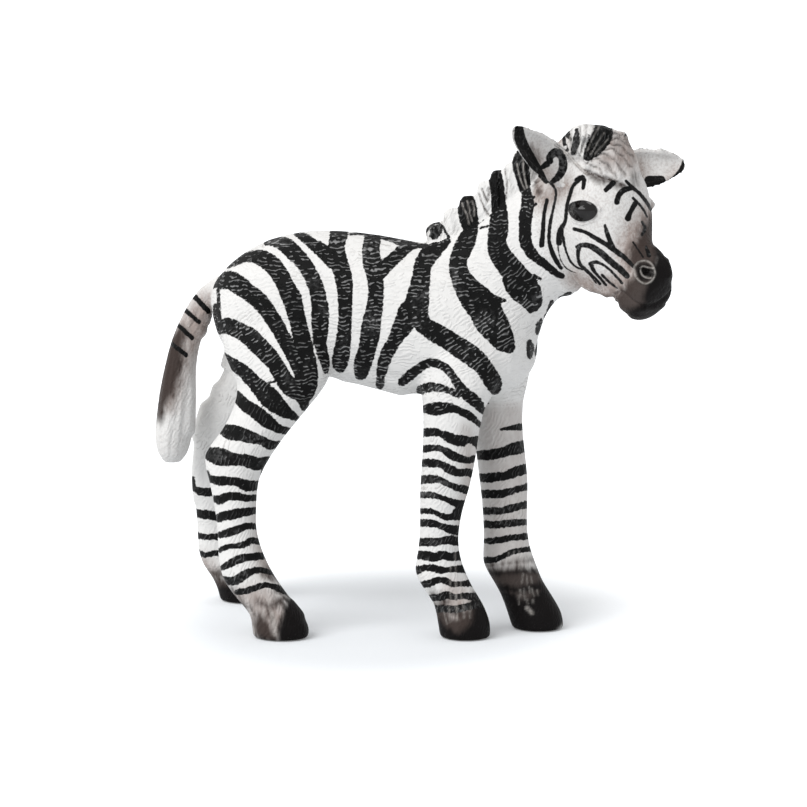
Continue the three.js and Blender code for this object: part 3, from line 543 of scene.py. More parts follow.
# %% Lift the skin under soft strokes
bulge_plan = [
    ("head", [(574, 288, 12), (590, 289, 12), (606, 295, 10)], 14, 0.65),
    ("trunk", [(566, 290, 8), (586, 290, 8)], 12, 0.6),
    ("head", [(655, 201, 4), (655, 207, 4)], 8, -0.3),
    ("head", [(608, 292, 8), (616, 297, 8)], 10, 0.4),
    ("head", [(623, 133, 6), (628, 138, 6)], 10, -0.5),
    ("right_hind_leg", [(297, 600, 6), (304, 612, 6)], 12, 0.4),
    ("left_hind_leg", [(204, 406, 10), (199, 424, 12), (198, 438, 6)], 14, 0.9),
    ("left_hind_leg", [(197, 446, 6), (195, 470, 6), (195, 500, 4)], 14, 0.4),
    ("left_hind_leg", [(224, 360, 10), (219, 378, 8)], 14, -0.8),
    ("tail", [(206, 314, 8), (204, 332, 8)], 14, 0.7),
    ("head", [(619, 298, 6), (624, 306, 8)], 12, 0.5),
    ("head", [(654, 250, 3), (658, 255, 7), (662, 261, 8), (667, 268, 7), (668, 276, 5)], 12, 0.55),
    ("head", [(586, 131, 14), (602, 131, 14)], 12, 0.4),
    ("right_ear", [(516, 128, 8), (522, 128, 8)], 14, 0.25),
    ("left_ear", [(662, 149, 8), (676, 149, 8)], 12, 0.5),
    ("trunk", [(345, 384, 14), (370, 388, 14), (400, 392, 14)], 24, 0.7),
    ("tail", [(198, 330, 8), (192, 370, 8), (190, 430, 8)], 10, 0.45),
]
belonging_rounds = 12
belongs = softened(np.eye(len(body_nodes))[owner], everywhere, belonging_rounds)
for node, stroke, softness_px, height in bulge_plan:
    here = belongs[:, body_nodes.index(node)]
    relief += airbrush(spots, [stroke], softness_px) * here * height * millimetre
skin_points = skin_points + skin_normals * relief[:, None]
move_points(skin_mesh, skin_points)
skin_normals = normals_of(skin_mesh)
spots, hidden_face = look_up(skin_points, skin_normals)
print("carved from", round(relief.min() / millimetre, 2), "to", round(relief.max() / millimetre, 2), "mm")

# %% [markdown]
# ## Where dirt and shade gather
# The hollows of the figure are painted darker: partly dirt and thin paint that stay there, partly
# painted shade where ambient occlusion would darken them. A point lies in a hollow where its neighbours
# stand higher than it does, along its normal. Ambient occlusion would show the shade too, but it can't be
# stored with the skin.

# %% Find the creases
crease_start = 0.6
crease_end = 5
crease_rounds = 3
crease_shown = 0.2
edge_length = np.linalg.norm(skin_points[edge_ends[:, 0]] - skin_points[edge_ends[:, 1]], axis=1)
touching = np.bincount(edge_ends.ravel(), minlength=len(owner))
mean_length = np.bincount(edge_ends[:, 0], edge_length, len(owner))
mean_length = (mean_length + np.bincount(edge_ends[:, 1], edge_length, len(owner))) / touching
depth = ((neighbour_mean(skin_points, edge_ends) - skin_points) * skin_normals).sum(1)
hollow = depth / mean_length ** 2 * millimetre
hollow = softened(hollow[:, None], everywhere, crease_rounds)[:, 0]
# how dark a hollow is painted: painted shade, with some dirt
crease = np.clip((hollow - crease_start) / (crease_end - crease_start), 0, 1)
print("creased:", round(float((crease > crease_shown).mean()), 3))

# %% [markdown]
# ## The stripes of the body
# The stripes run down from the back, fork over the shoulder, and turn along the haunch into the hind leg.
# An image could carry them, but strokes stay sharp at any distance, and one can be moved by changing its
# points.

# %% Stripes of the flank and the shoulder
flank_strokes = [
    [(350, 234, 2), (365, 234, 3), (385, 238, 4), (400, 242, 6), (412, 245, 6), (425, 246, 4)],
    [(373, 236, 16), (371, 250, 17), (372, 263, 18), (375, 277, 16), (376, 292, 15), (375, 305, 16),
     (372, 320, 18), (370, 335, 19), (367, 350, 17), (363, 363, 18), (361, 374, 12)],
    [(380, 272, 14), (389, 263, 13), (397, 256, 12), (403, 250, 12), (412, 247, 6)],
    [(296, 234, 4), (305, 238, 9), (314, 245, 11), (324, 252, 14), (333, 262, 14)],
    [(339, 233, 18), (337, 243, 16), (336, 253, 16)],
    [(337, 256, 18), (339, 263, 18), (343, 275, 17), (345, 290, 15), (345, 305, 14), (345, 320, 13),
     (344, 335, 14), (342, 350, 16), (340, 362, 16), (340, 369, 8)],
    [(266, 243, 4), (275, 242, 9), (285, 245, 15), (293, 252, 16), (301, 260, 15), (308, 270, 15),
     (314, 282, 15), (318, 295, 15), (320, 310, 17), (320, 325, 17), (320, 340, 13), (322, 352, 11),
     (325, 362, 9), (326, 371, 5)],
    [(228, 266, 5), (238, 261, 7), (248, 257, 10), (258, 257, 14), (267, 261, 17), (275, 268, 17),
     (281, 277, 17), (286, 287, 17), (292, 298, 19), (295, 310, 17), (298, 322, 16), (301, 335, 17),
     (304, 348, 18), (306, 362, 20), (307, 376, 22), (304, 388, 24), (303, 396, 16)],
    [(302, 396, 12), (305, 407, 8)],
]
shoulder_strokes = [
    [(448, 241, 6), (436, 246, 18), (428, 256, 18), (423, 265, 17), (421, 278, 18), (419, 290, 20),
     (417, 302, 24), (414, 313, 28)],
    [(410, 311, 22), (403, 325, 20), (396, 338, 14), (389, 350, 13), (384, 362, 12), (381, 375, 9),
     (380, 385, 8)],
    [(415, 312, 24), (424, 325, 17), (436, 333, 19), (448, 340, 19), (460, 348, 20), (472, 356, 20),
     (482, 365, 18), (489, 375, 17), (494, 384, 16), (495, 391, 8)],
    [(402, 382, 8), (409, 376, 10), (418, 369, 9), (428, 363, 8), (438, 364, 8), (447, 369, 8),
     (454, 378, 8), (459, 386, 9), (466, 394, 11), (476, 402, 11), (483, 411, 6)],
    [(421, 390, 9), (430, 387, 9), (440, 388, 7), (450, 391, 6), (458, 394, 8)],
    [(423, 409, 6), (435, 409, 13), (448, 408, 10), (458, 410, 7), (468, 415, 8), (475, 420, 6),
     (480, 425, 5)],
]
print(len(flank_strokes), "strokes on the flank and", len(shoulder_strokes), "on the shoulder")

# %% Stripes of the neck
neck_strokes = [
    [(470, 228, 16), (468, 238, 17), (463, 248, 18), (459, 258, 17), (458, 268, 18), (461, 278, 20),
     (467, 288, 24), (475, 298, 30), (484, 308, 32), (490, 320, 32), (497, 330, 28), (503, 340, 22),
     (509, 347, 12)],
    [(495, 298, 6), (505, 301, 3)],
    [(478, 223, 2), (490, 214, 2)],
    [(480, 228, 2), (488, 226, 2)],
    [(496, 180, 14), (497, 195, 14), (499, 208, 15), (499, 220, 18), (498, 232, 19), (497, 243, 19),
     (500, 254, 21), (507, 264, 22), (514, 273, 24), (519, 283, 30), (527, 292, 28), (532, 301, 20),
     (531, 308, 10)],
    [(534, 276, 3), (540, 279, 2)],
    [(520, 165, 16), (522, 178, 15), (526, 192, 10), (528, 203, 13), (526, 215, 13), (525, 230, 12),
     (526, 243, 12), (533, 255, 10), (545, 264, 8), (556, 273, 7), (562, 276, 6)],
    [(528, 202, 4), (534, 197, 3)],
    [(530, 208, 4), (536, 204, 3)],
    [(541, 320, 3), (539, 326, 6), (537, 333, 3)],
    [(530, 342, 5), (530, 349, 8), (530, 357, 4)],
    [(552, 302, 4), (549, 312, 5), (545, 318, 3)],
    [(560, 298, 3), (570, 293, 3)],
]
print(len(neck_strokes), "strokes on the neck")

# %% Stripes of the haunch
haunch_strokes = [
    [(211, 287, 5), (216, 283, 9), (222, 282, 14), (230, 280, 18), (240, 286, 18), (248, 292, 17),
     (257, 299, 17), (264, 306, 16), (270, 315, 15), (276, 324, 15), (281, 333, 14), (287, 344, 14),
     (293, 355, 14), (299, 368, 14), (304, 380, 16)],
    [(218, 290, 3), (219, 308, 3)],
    [(216, 306, 5), (217, 315, 9), (217, 327, 12), (228, 326, 16), (240, 331, 16), (250, 337, 18),
     (259, 346, 18), (268, 355, 17), (276, 365, 16), (282, 376, 16), (290, 387, 18), (300, 394, 14)],
    [(268, 383, 2), (277, 381, 2)],
    [(223, 354, 4), (227, 359, 8), (233, 364, 11), (243, 371, 13), (252, 380, 14), (261, 389, 17),
     (269, 397, 20), (277, 405, 18), (286, 412, 12), (296, 418, 6)],
    [(237, 396, 10), (245, 405, 12), (254, 411, 13), (263, 418, 14), (271, 424, 12), (279, 429, 8),
     (291, 432, 7)],
    [(222, 429, 9), (230, 432, 15), (240, 434, 14), (250, 437, 12), (260, 440, 9), (270, 445, 9),
     (279, 444, 6)],
    [(206, 452, 11), (213, 455, 15), (222, 457, 18), (232, 459, 13), (243, 460, 12), (250, 462, 13),
     (258, 464, 12), (265, 461, 8), (270, 459, 5)],
    [(207, 472, 3), (211, 480, 3)],
    [(263, 470, 3), (262, 478, 3)],
]
print(len(haunch_strokes), "strokes on the haunch")

# %% Bands of the hind legs
near_hind_strokes = [
    [(211, 479, 7), (220, 481, 9), (230, 481, 8), (238, 482, 9), (245, 485, 11), (252, 486, 10),
     (259, 485, 8), (262, 486, 5)],
    [(216, 498, 6), (219, 500, 9), (226, 497, 8), (235, 496, 8), (245, 498, 7), (252, 498, 6),
     (259, 497, 5)],
    [(218, 518, 8), (225, 516, 9), (235, 514, 10), (245, 512, 8), (252, 511, 7), (258, 510, 6)],
    [(220, 535, 6), (228, 533, 8), (236, 530, 8), (244, 527, 7), (251, 526, 6), (260, 528, 5)],
    [(220, 550, 5), (227, 547, 5), (235, 546, 5), (243, 545, 6), (250, 541, 6), (256, 541, 6),
     (262, 543, 5)],
    [(222, 568, 5), (228, 565, 7), (235, 561, 8), (243, 558, 8), (252, 557, 7), (260, 556, 7),
     (267, 556, 5)],
    [(223, 578, 4), (230, 581, 8), (237, 580, 9), (243, 576, 9), (250, 572, 7), (257, 570, 6),
     (265, 571, 5), (272, 573, 4)],
    [(237, 592, 5), (245, 591, 6), (252, 589, 6), (258, 587, 6), (266, 585, 5), (275, 587, 6),
     (286, 591, 7)],
]
far_hind_strokes = [
    [(193, 478, 3), (194, 487, 4), (197, 490, 6), (205, 492, 8), (225, 491, 9), (245, 488, 7)],
    [(193, 511, 6), (200, 514, 8), (210, 515, 9), (225, 517, 8), (245, 514, 6)],
    [(193, 534, 5), (205, 537, 6), (218, 537, 6), (232, 540, 8), (250, 537, 6)],
    [(196, 551, 5), (205, 555, 5), (217, 553, 5), (232, 558, 7), (250, 556, 7)],
]
outer_hind_strokes = [
    [(214, 345, 8), (240, 352, 14), (262, 362, 15), (284, 378, 13), (300, 392, 8)],
    [(212, 372, 6), (232, 376, 13), (252, 385, 15), (272, 399, 14), (290, 414, 7)],
    [(208, 400, 4), (226, 402, 11), (244, 410, 14), (262, 421, 12), (276, 430, 6)],
    [(206, 426, 4), (222, 427, 10), (240, 432, 12), (256, 440, 10), (266, 446, 5)],
    [(204, 448, 4), (220, 450, 9), (236, 455, 10), (254, 460, 6)],
    [(200, 468, 5), (216, 471, 9), (232, 473, 9), (250, 472, 5)],
    [(200, 575, 4), (220, 577, 7), (245, 575, 7)],
]
print(len(near_hind_strokes), "bands on the near hind leg")

# %% Bands of the forelegs
near_fore_strokes = [
    [(423, 433, 8), (433, 432, 8), (442, 434, 7), (450, 438, 10), (458, 441, 10), (464, 443, 6)],
    [(461, 437, 4), (470, 440, 6), (478, 442, 11), (479, 448, 6)],
    [(424, 449, 7), (433, 448, 6), (442, 449, 6), (450, 454, 8), (458, 458, 8), (466, 460, 6),
     (474, 459, 7), (479, 458, 6)],
    [(422, 463, 7), (432, 463, 8), (442, 465, 7), (451, 470, 9), (459, 473, 7), (467, 472, 7),
     (475, 475, 8)],
    [(421, 480, 8), (432, 479, 8), (440, 480, 6), (448, 484, 6), (455, 487, 6), (463, 489, 8),
     (470, 491, 7)],
    [(421, 495, 6), (431, 495, 6), (440, 497, 5), (448, 500, 5), (455, 503, 7), (466, 505, 9)],
    [(421, 511, 5), (430, 511, 5), (438, 514, 4), (445, 517, 6), (452, 517, 6), (458, 514, 12),
     (463, 512, 14)],
    [(420, 523, 7), (430, 523, 7), (438, 525, 6), (446, 528, 7), (454, 530, 9), (462, 531, 10)],
    [(419, 542, 8), (428, 542, 8), (435, 542, 8), (442, 541, 7), (448, 540, 8), (456, 541, 9),
     (462, 541, 9)],
    [(418, 555, 8), (428, 556, 9), (435, 557, 9), (443, 555, 8), (450, 557, 8), (458, 556, 9),
     (463, 556, 9)],
    [(415, 571, 9), (424, 568, 6), (433, 568, 7), (440, 570, 7), (448, 570, 5), (456, 569, 6),
     (466, 569, 9)],
    [(421, 585, 6), (430, 583, 7), (438, 580, 6), (446, 581, 6), (452, 584, 5), (460, 584, 5),
     (472, 583, 7)],
    [(431, 598, 6), (440, 597, 7), (447, 595, 7), (455, 597, 6), (465, 596, 6), (477, 597, 8)],
    [(436, 609, 7), (448, 609, 7), (458, 609, 7), (470, 606, 7), (480, 603, 9)],
]
far_fore_strokes = [
    [(501, 429, 2), (510, 428, 4), (521, 427, 7)],
    [(478, 455, 8), (487, 455, 10), (495, 454, 10), (504, 452, 10), (513, 449, 12), (525, 446, 12)],
    [(477, 477, 7), (487, 478, 9), (495, 477, 9), (505, 476, 8), (515, 472, 10), (529, 468, 10)],
    [(480, 494, 8), (490, 494, 8), (500, 494, 8), (508, 492, 7), (518, 489, 6), (530, 486, 7)],
    [(482, 511, 7), (492, 511, 7), (500, 511, 7), (509, 509, 7), (520, 506, 7), (530, 504, 7)],
    [(484, 524, 7), (494, 525, 7), (503, 524, 7), (513, 523, 7), (530, 522, 5)],
    [(485, 541, 4), (491, 541, 6), (500, 540, 6), (510, 538, 6), (519, 537, 6), (530, 536, 6)],
    [(484, 560, 6), (493, 560, 6), (502, 557, 5), (512, 552, 5), (522, 550, 5), (532, 549, 5)],
]
outer_fore_strokes = [
    [(474, 440, 5), (488, 433, 8), (504, 428, 8), (521, 427, 7)],
    [(472, 414, 8), (490, 408, 11), (508, 404, 11), (526, 405, 8)],
    [(470, 390, 10), (490, 383, 13), (510, 380, 12), (530, 384, 8)],
    [(470, 366, 10), (490, 358, 13), (514, 356, 12), (534, 362, 8)],
]
print(len(near_fore_strokes), "bands on the near foreleg")

# %% [markdown]
# ## The marks of the head
# The face has thin lines that run from the brow and cheek to the nostril, and short marks over the eyes.
# The ears have dark rims and marks, and the tufts of hair are black where a stripe of the neck ends in them.
# The tail has thin bands.

# %% Marks of the face
face_strokes = [
    [(582, 178, 4), (573, 186, 4), (570, 195, 4), (567, 205, 4), (566, 215, 4), (565, 222, 4),
     (561, 229, 6), (560, 236, 8), (559, 243, 6)],
    [(558, 243, 2), (559, 254, 1.5), (563, 264, 1.5), (569, 270, 1.5), (576, 273, 1)],
    [(563, 238, 4), (566, 251, 2.5), (571, 262, 2.5), (578, 268, 2.5), (587, 271, 2.5), (596, 283, 2)],
    [(548, 181, 3), (554, 187, 3), (556, 195, 3), (553, 210, 3), (550, 225, 4), (549, 240, 4),
     (552, 252, 5), (557, 262, 5), (561, 268, 4)],
    [(547, 200, 4), (544, 215, 4), (543, 230, 5), (542, 245, 5)],
    [(574, 229, 4), (585, 232, 4), (595, 238, 5), (607, 245, 5), (617, 252, 6), (625, 258, 5),
     (634, 267, 4)],
    [(605, 225, 3), (607, 233, 5), (610, 241, 5), (614, 249, 5)],
    [(577, 247, 4), (582, 245, 5), (590, 246, 6), (600, 252, 7), (610, 261, 7), (620, 269, 7),
     (627, 276, 6)],
    [(579, 248, 5), (578, 256, 4), (580, 264, 4), (587, 271, 4), (594, 277, 3), (600, 284, 3)],
    [(590, 264, 4), (596, 262, 4), (605, 266, 3), (614, 274, 3), (622, 283, 3)],
    [(591, 264, 5), (594, 271, 4), (600, 278, 3), (606, 285, 3)],
    [(602, 275, 3), (608, 281, 3), (617, 288, 2)],
    [(576, 180, 4), (582, 177, 5), (584, 181, 5), (583, 188, 4)],
    [(613, 183, 6), (606, 190, 5)],
]
far_face_strokes = [
    [(632, 188, 5), (624, 190, 6), (619, 195, 6), (617, 202, 6)],
    [(626, 181, 3), (632, 187, 4), (640, 194, 4), (647, 203, 4), (651, 210, 3)],
    [(633, 198, 3), (637, 202, 3), (643, 209, 3), (647, 217, 2)],
    [(635, 204, 6), (631, 211, 5), (628, 218, 7)],
    [(642, 222, 3), (645, 228, 4), (642, 235, 3)],
    [(633, 242, 2), (643, 257, 2)],
    [(646, 247, 3), (649, 255, 5)],
]
print(len(face_strokes) + len(far_face_strokes), "marks on the face")

# %% Strokes of the ears, the hair and the tail
ear_strokes = [
    [(519, 127, 8), (520, 138, 11), (525, 150, 11), (532, 161, 10), (539, 172, 8), (546, 182, 4)],
    [(550, 161, 6), (550, 157, 7), (556, 152, 8), (562, 157, 8), (563, 167, 8), (559, 176, 7),
     (552, 182, 4)],
    [(541, 168, 4), (547, 164, 6)],
]
far_ear_strokes = [
    [(649, 180.5, 9), (661, 180.5, 9)],
    [(651, 187, 9), (662, 185, 9)],
    [(684, 160, 2), (681, 170, 4), (671, 182, 5), (660, 190, 5)],
]
mane_strokes = [
    [(434, 235, 9), (436, 231, 11), (438, 229, 9)],
    [(424, 234, 2), (430, 227, 2), (438, 223, 2), (444, 229, 2), (451, 241, 2)],
    [(466, 198, 14), (467, 207, 19), (469, 220, 18), (472, 231, 16)],
    [(494, 170, 12), (496, 180, 14), (498, 195, 14), (499, 210, 15)],
    [(524, 152, 12), (521, 163, 17), (523, 178, 14), (526, 192, 10)],
]
forelock_strokes = [
    [(564, 131, 3), (564, 141, 4), (567, 150, 4)],
    [(567, 130, 5), (568, 136, 5), (571, 140, 3)],
    [(577, 130, 4), (576, 142, 8), (573, 153, 5)],
    [(603, 127, 18), (602, 136, 21), (595, 147, 18), (588, 157, 9)],
]
tail_strokes = [
    [(195, 297, 5), (208, 311, 5)],
    [(185, 310, 4), (199, 322, 4)],
    [(176, 323, 4), (192, 338, 4)],
    [(168, 341, 4), (186, 355, 4)],
]
print(len(mane_strokes) + len(forelock_strokes), "strokes on the mane and the forelock")

# %% [markdown]
# ## Soft shading from the airbrush
# Over the white the toy has a thin warm grey on its hair and ears, and a dark brown on the muzzle, the tail
# and the feet. Such a cloud is a stroke with a soft edge: soot is black, umber is brown, dust is thin and
# grey. Some umber and dust clouds are painted shade: down the far side of the nose, under the jaw, under
# the edge of the forelock, at the base of the far ear and on the inner side of the far foreleg. Over the
# brown of the feet lie short light dabs, where the bare vinyl shows between the strokes of the fur.

# %% Clouds of the head and the ears
face_soot = [
    [(654, 226, 6), (660, 243, 14), (668, 260, 26), (666, 280, 34), (660, 298, 34)],
    [(658, 302, 24), (646, 312, 18), (634, 314, 12)],
    [(643.5, 271, 18), (645, 273.5, 18)],
]
face_umber_and_shade = [
    [(653, 216, 8), (650, 238, 26), (644, 258, 34)],
    [(644, 284, 30), (634, 304, 40), (646, 302, 44)],
    [(618, 293, 3), (616, 298, 3), (619, 304, 4)],
    # a painted shadow under the edge of the forelock
    [(590, 176, 3), (600, 180, 4), (612, 183, 4), (624, 187, 3)],
    # painted shade under the jaw
    [(582, 293, 2), (600, 299, 5), (614, 304, 7)],
    # painted shade at the base of the far ear
    [(634, 176, 4), (634, 186, 4)],
]
face_dust_and_shade = [
    # painted shade down the far side of the nose
    [(648, 215, 18), (636, 245, 36), (630, 275, 24), (612, 290, 26)],
    [(536, 188, 20), (543, 200, 18), (562, 186, 18)],
    [(612, 144, 18), (622, 148, 30), (628, 158, 28), (604, 158, 14)],
    # painted shade under the jaw
    [(576, 278, 16), (592, 290, 20), (606, 298, 20)],
    [(556, 146, 6), (562, 140, 6)],
]
ear_umber = [
    [(532, 148, 3), (536, 158, 4)],
]
ear_dust = [
    [(534, 148, 2), (539, 160, 4), (548, 176, 8)],
]
brush_of_ear = [
    [(535, 180, 3), (538, 190, 4), (541, 198, 2)],
]
far_ear_base_shade = [
    # painted shade at the base of the far ear
    [(630, 172, 8), (640, 184, 6), (650, 192, 4)],
]
far_ear_dust = [
    [(638, 160, 6), (642, 172, 8)],
    [(676, 172, 4), (668, 182, 4)],
]
print(len(face_soot) + len(face_umber_and_shade) + len(face_dust_and_shade), "clouds on the face")

# %% Clouds of the hind legs and the tail
near_hind_soot = [
    [(292, 602, 12), (301, 618, 38), (295, 632, 36), (286, 642, 16)],
    [(256, 636, 3), (266, 642, 6), (284, 645, 8)],
]
near_hind_umber = [
    [(260, 618, 12), (262, 630, 20), (274, 640, 12)],
    [(258, 602, 4), (270, 606, 7), (284, 598, 10)],
    [(268, 610, 3), (272, 624, 4), (272, 638, 8)],
    [(266, 572, 8), (280, 578, 10)],
    [(278, 590, 6), (288, 596, 10)],
    [(230, 590, 6), (236, 600, 8), (248, 608, 6)],
]
near_hind_dust = [
    [(240, 596, 14), (262, 602, 30), (272, 622, 44)],
    [(262, 500, 8), (262, 540, 12), (268, 570, 20)],
]
far_hind_soot = [
    [(224, 596, 22), (244, 602, 36), (262, 600, 30)],
]
far_hind_umber = [
    [(206, 571, 4), (220, 574, 8), (240, 574, 8)],
    [(214, 584, 18), (232, 594, 30), (256, 596, 40)],
]
far_hind_dust = [
    [(205, 562, 14), (212, 574, 16)],
]
tail_umber = [
    [(180, 332, 12), (172, 350, 24), (168, 366, 30), (165, 384, 26), (160, 404, 16), (158, 420, 6)],
]
tail_dust = [
    [(206, 302, 18), (197, 322, 34), (184, 345, 34), (176, 370, 26), (168, 402, 18)],
]
print(len(near_hind_soot) + len(near_hind_umber) + len(near_hind_dust), "clouds on the near hind leg")

# %% Clouds of the forelegs
near_fore_soot = [
    [(434, 616, 6), (444, 636, 18), (462, 642, 20), (484, 630, 30), (486, 612, 26), (480, 596, 14)],
]
near_fore_umber = [
    [(440, 612, 20), (446, 628, 26), (466, 630, 30), (480, 606, 18)],
    [(446, 614, 8), (470, 614, 12)],
    [(434, 594, 6), (446, 602, 6)],
]
near_fore_dust = [
    [(452, 585, 10), (456, 604, 30), (458, 620, 40)],
    [(466, 430, 4), (470, 480, 10), (462, 530, 6)],
]
far_fore_soot = [
    [(504, 602, 24), (520, 616, 34), (540, 618, 44), (556, 600, 40)],
    [(500, 588, 8), (520, 590, 5), (545, 586, 12)],
    [(490, 574, 4), (515, 572, 3), (540, 570, 4)],
]
far_fore_umber = [
    [(490, 582, 28), (515, 582, 32), (540, 582, 28)],
    [(484, 566, 5), (505, 564, 1), (532, 560, 4)],
    [(500, 600, 40), (520, 606, 40), (550, 600, 40)],
]
far_fore_shade = [
    # painted shade on the inner side of the far foreleg, under the body
    [(505, 420, 50), (506, 480, 46), (508, 560, 46)],
]
print(len(near_fore_soot) + len(near_fore_umber) + len(near_fore_dust), "clouds on the near foreleg")

# %% Light dabs above the hooves
dabs = [
    [(272, 612, 3), (274, 624, 5), (275, 634, 4)],
    [(264, 610, 1), (262, 616, 1)],
    [(268, 600, 2), (269, 607, 2)],
    [(456, 582, 1.5), (456, 602, 2), (457, 620, 1)],
    [(451, 562, 0.5), (450, 580, 0.5), (451, 600, 1)],
    [(455, 548, 0.5), (456, 575, 0.5)],
    [(461, 578, 0.5), (461, 600, 0.5)],
    [(509, 552, 0.5), (507, 567, 0.5)],
    [(514, 551, 0.5), (513, 569, 0.5)],
    [(519, 551, 0.5), (519, 568, 0.5)],
    [(449, 607, 1), (450, 622, 0.5)],
    [(463, 602, 1), (464, 618, 0.5)],
    [(444, 612, 0.5), (447, 624, 0.5)],
    [(470, 606, 0.5), (470, 618, 0.5)],
    [(523, 574, 1), (522, 582, 1)],
    [(527, 575, 0.5), (527, 584, 0.5)],
    [(531, 576, 0.5), (532, 583, 0.5)],
    [(520, 590, 1), (521, 597, 0.5)],
    [(524, 589, 0.5), (525, 599, 1)],
    [(518, 596, 0.5), (519, 604, 0.5)],
    [(529, 587, 0.5), (530, 593, 0.5)],
    [(532, 589, 1), (534, 596, 0.5)],
    [(537, 590, 0.5), (538, 595, 0.5)],
    [(527, 600, 0.5), (528, 604, 0.5)],
    [(533, 600, 1), (533, 603, 0.5)],
    [(527, 608, 4), (532, 613, 4)],
]
print(len(dabs), "dabs")

# %% [markdown]
# ## From strokes to paint on the skin
# Each row below names points of the skin and the strokes, soot, umber and dust that they take, and some of
# the umber and dust is painted shade. What a point gets is worked out once and stored with it, so that the
# paint follows the skin wherever the piece goes, and is still there when the model is exported. The outer
# sides of the far legs, which the camera can't see, have rows of their own.

# %% Lay the paint on the skin
outward_limit = 0.15
outward = skin_normals[:, 1] > outward_limit
near_strokes = flank_strokes + shoulder_strokes + neck_strokes + haunch_strokes
head_strokes = neck_strokes + face_strokes + forelock_strokes + ear_strokes
paint_plan = [
    (of_node["trunk"], near_strokes + near_fore_strokes[:1] + face_strokes[3:5], [], [], []),
    (of_node["right_hind_leg"], haunch_strokes + near_hind_strokes + flank_strokes, near_hind_soot,
     near_hind_umber, near_hind_dust),
    (of_node["right_foreleg"], shoulder_strokes + near_fore_strokes, near_fore_soot, near_fore_umber,
     near_fore_dust),
    (of_node["left_foreleg"] & ~outward, far_fore_strokes, far_fore_soot, far_fore_umber, far_fore_shade),
    (of_node["left_foreleg"] & outward, far_fore_strokes + outer_fore_strokes, far_fore_soot,
     far_fore_umber, []),
    (of_node["left_hind_leg"] & ~outward, far_hind_strokes, far_hind_soot, far_hind_umber, far_hind_dust),
    (of_node["left_hind_leg"] & outward, far_hind_strokes + outer_hind_strokes, far_hind_soot,
     far_hind_umber, []),
    (of_node["head"] & ~hidden_face, head_strokes + far_face_strokes, face_soot, face_umber_and_shade, face_dust_and_shade),
    (hidden_face, head_strokes, face_soot, face_umber_and_shade, face_dust_and_shade),
    (of_node["right_ear"], ear_strokes, [], ear_umber, ear_dust),
    (of_node["left_ear"], far_ear_strokes, [], far_ear_base_shade, far_ear_dust),
    (of_node["mane"], mane_strokes, [], [], []),
    (of_node["tail"], tail_strokes, [], tail_umber, tail_dust),
]
soot_softness = 9
umber_and_shade_softness = 14
dust_and_shade_softness = 24
stripe = np.full(len(owner), float(far_from_paint))
soot = np.zeros(len(owner))
umber_and_shade = np.zeros(len(owner))
dust_and_shade = np.zeros(len(owner))
for where, strokes, soot_strokes, umber_and_shade_strokes, dust_and_shade_strokes in paint_plan:
    stripe[where] = paint_distance(spots[where], strokes)
    soot[where] = airbrush(spots[where], soot_strokes, soot_softness)
    umber_and_shade[where] = airbrush(spots[where], umber_and_shade_strokes, umber_and_shade_softness)
    dust_and_shade[where] = airbrush(spots[where], dust_and_shade_strokes, dust_and_shade_softness)
eye = np.where(of_node["head"], paint_distance(spots, [eye_shape]), far_from_paint)
print("painted black:", round(float((stripe < 0).mean()), 3))

# %% Correct the paint of single pieces
thinner_on_head = 0.4
dust_and_shade_rounds = 8
far_leg_shade_share = 0.5
on_legs = on_pieces([node for node in body_nodes if node.endswith("leg")])
stripe[of_node["head"]] += thinner_on_head
dust_and_shade = softened(dust_and_shade[:, None], (on_legs | of_node["trunk"]).astype(float), dust_and_shade_rounds)[:, 0]
# the painted shade of the far foreleg is halved
dust_and_shade[of_node["left_foreleg"]] *= far_leg_shade_share
umber_and_shade = np.maximum(umber_and_shade, airbrush(spots, brush_of_ear, umber_and_shade_softness) * ~of_node["mane"])
print("dusted:", round(float(dust_and_shade.mean()), 3), "browned:", round(float(umber_and_shade.mean()), 3))

# %% [markdown]
# ## Light lines and dark grooves
# The raised rim and curl of the nostril get a painted highlight, and the strands of the tufts are
# touched with light paint. The deepest lines are painted dark: painted shade in the carved grooves, with
# some dirt, and a painted shadow under the edge of the forelock along the brow. Each row below names
# strokes, how far from their middle the line lies, its width, both in pixels, its strength, and the
# pieces that it is on.

# %% Draw the light lines and the dark grooves
light_lines = [
    # painted highlight on the raised rim and curl of the nostril
    ([nostril_ring], 0, 0.9, 0.62, ["head"]),
    ([nostril_curl], 0, 0.8, 0.6, ["head"]),
    (light_strands, 0, 0.8, 0.4, ["head"]),
    (light_strands, 0, 0.8, 0.7, ["mane"]),
    ([ear_rim], 0, 1.3, 0.6, ["head"]),
]
dark_grooves = [
    # painted shade in the carved grooves, with some dirt
    (forelock_grooves, 0, 1.1, 0.7, ["head"]),
    ([mouth_line], 0, 1.3, 1, ["head"]),
    (mane_grooves, 0, 1, 1, ["mane"]),
    # painted shadow under the edge of the forelock
    ([brow_groove], 0, 2.4, 1.15, ["head"]),
    ([ear_line], 1, 0.7, 0.9, ["head", "right_ear"]),
]
dab_softness = 3
dab_strength = 0.55


def drawn(lines):
    amount = np.zeros(len(owner))
    for strokes, offset, width, strength, nodes in lines:
        amount += ridge(strokes, offset, width) * on_pieces(nodes) * strength
    return amount


pale = drawn(light_lines) + airbrush(spots, dabs, dab_softness) * on_legs * dab_strength
groove = drawn(dark_grooves)
print("light:", round(float(pale.mean()), 4), "dark:", round(float(groove.mean()), 4))

# %% [markdown]
# ## Which way the fur lies
# The sculptor scratched short wavy strokes of fur. They lie level on the flank, lean on the shoulder and
# neck, and hang down on the legs and head. Each point keeps how much of the leaning and hanging kind it
# has.

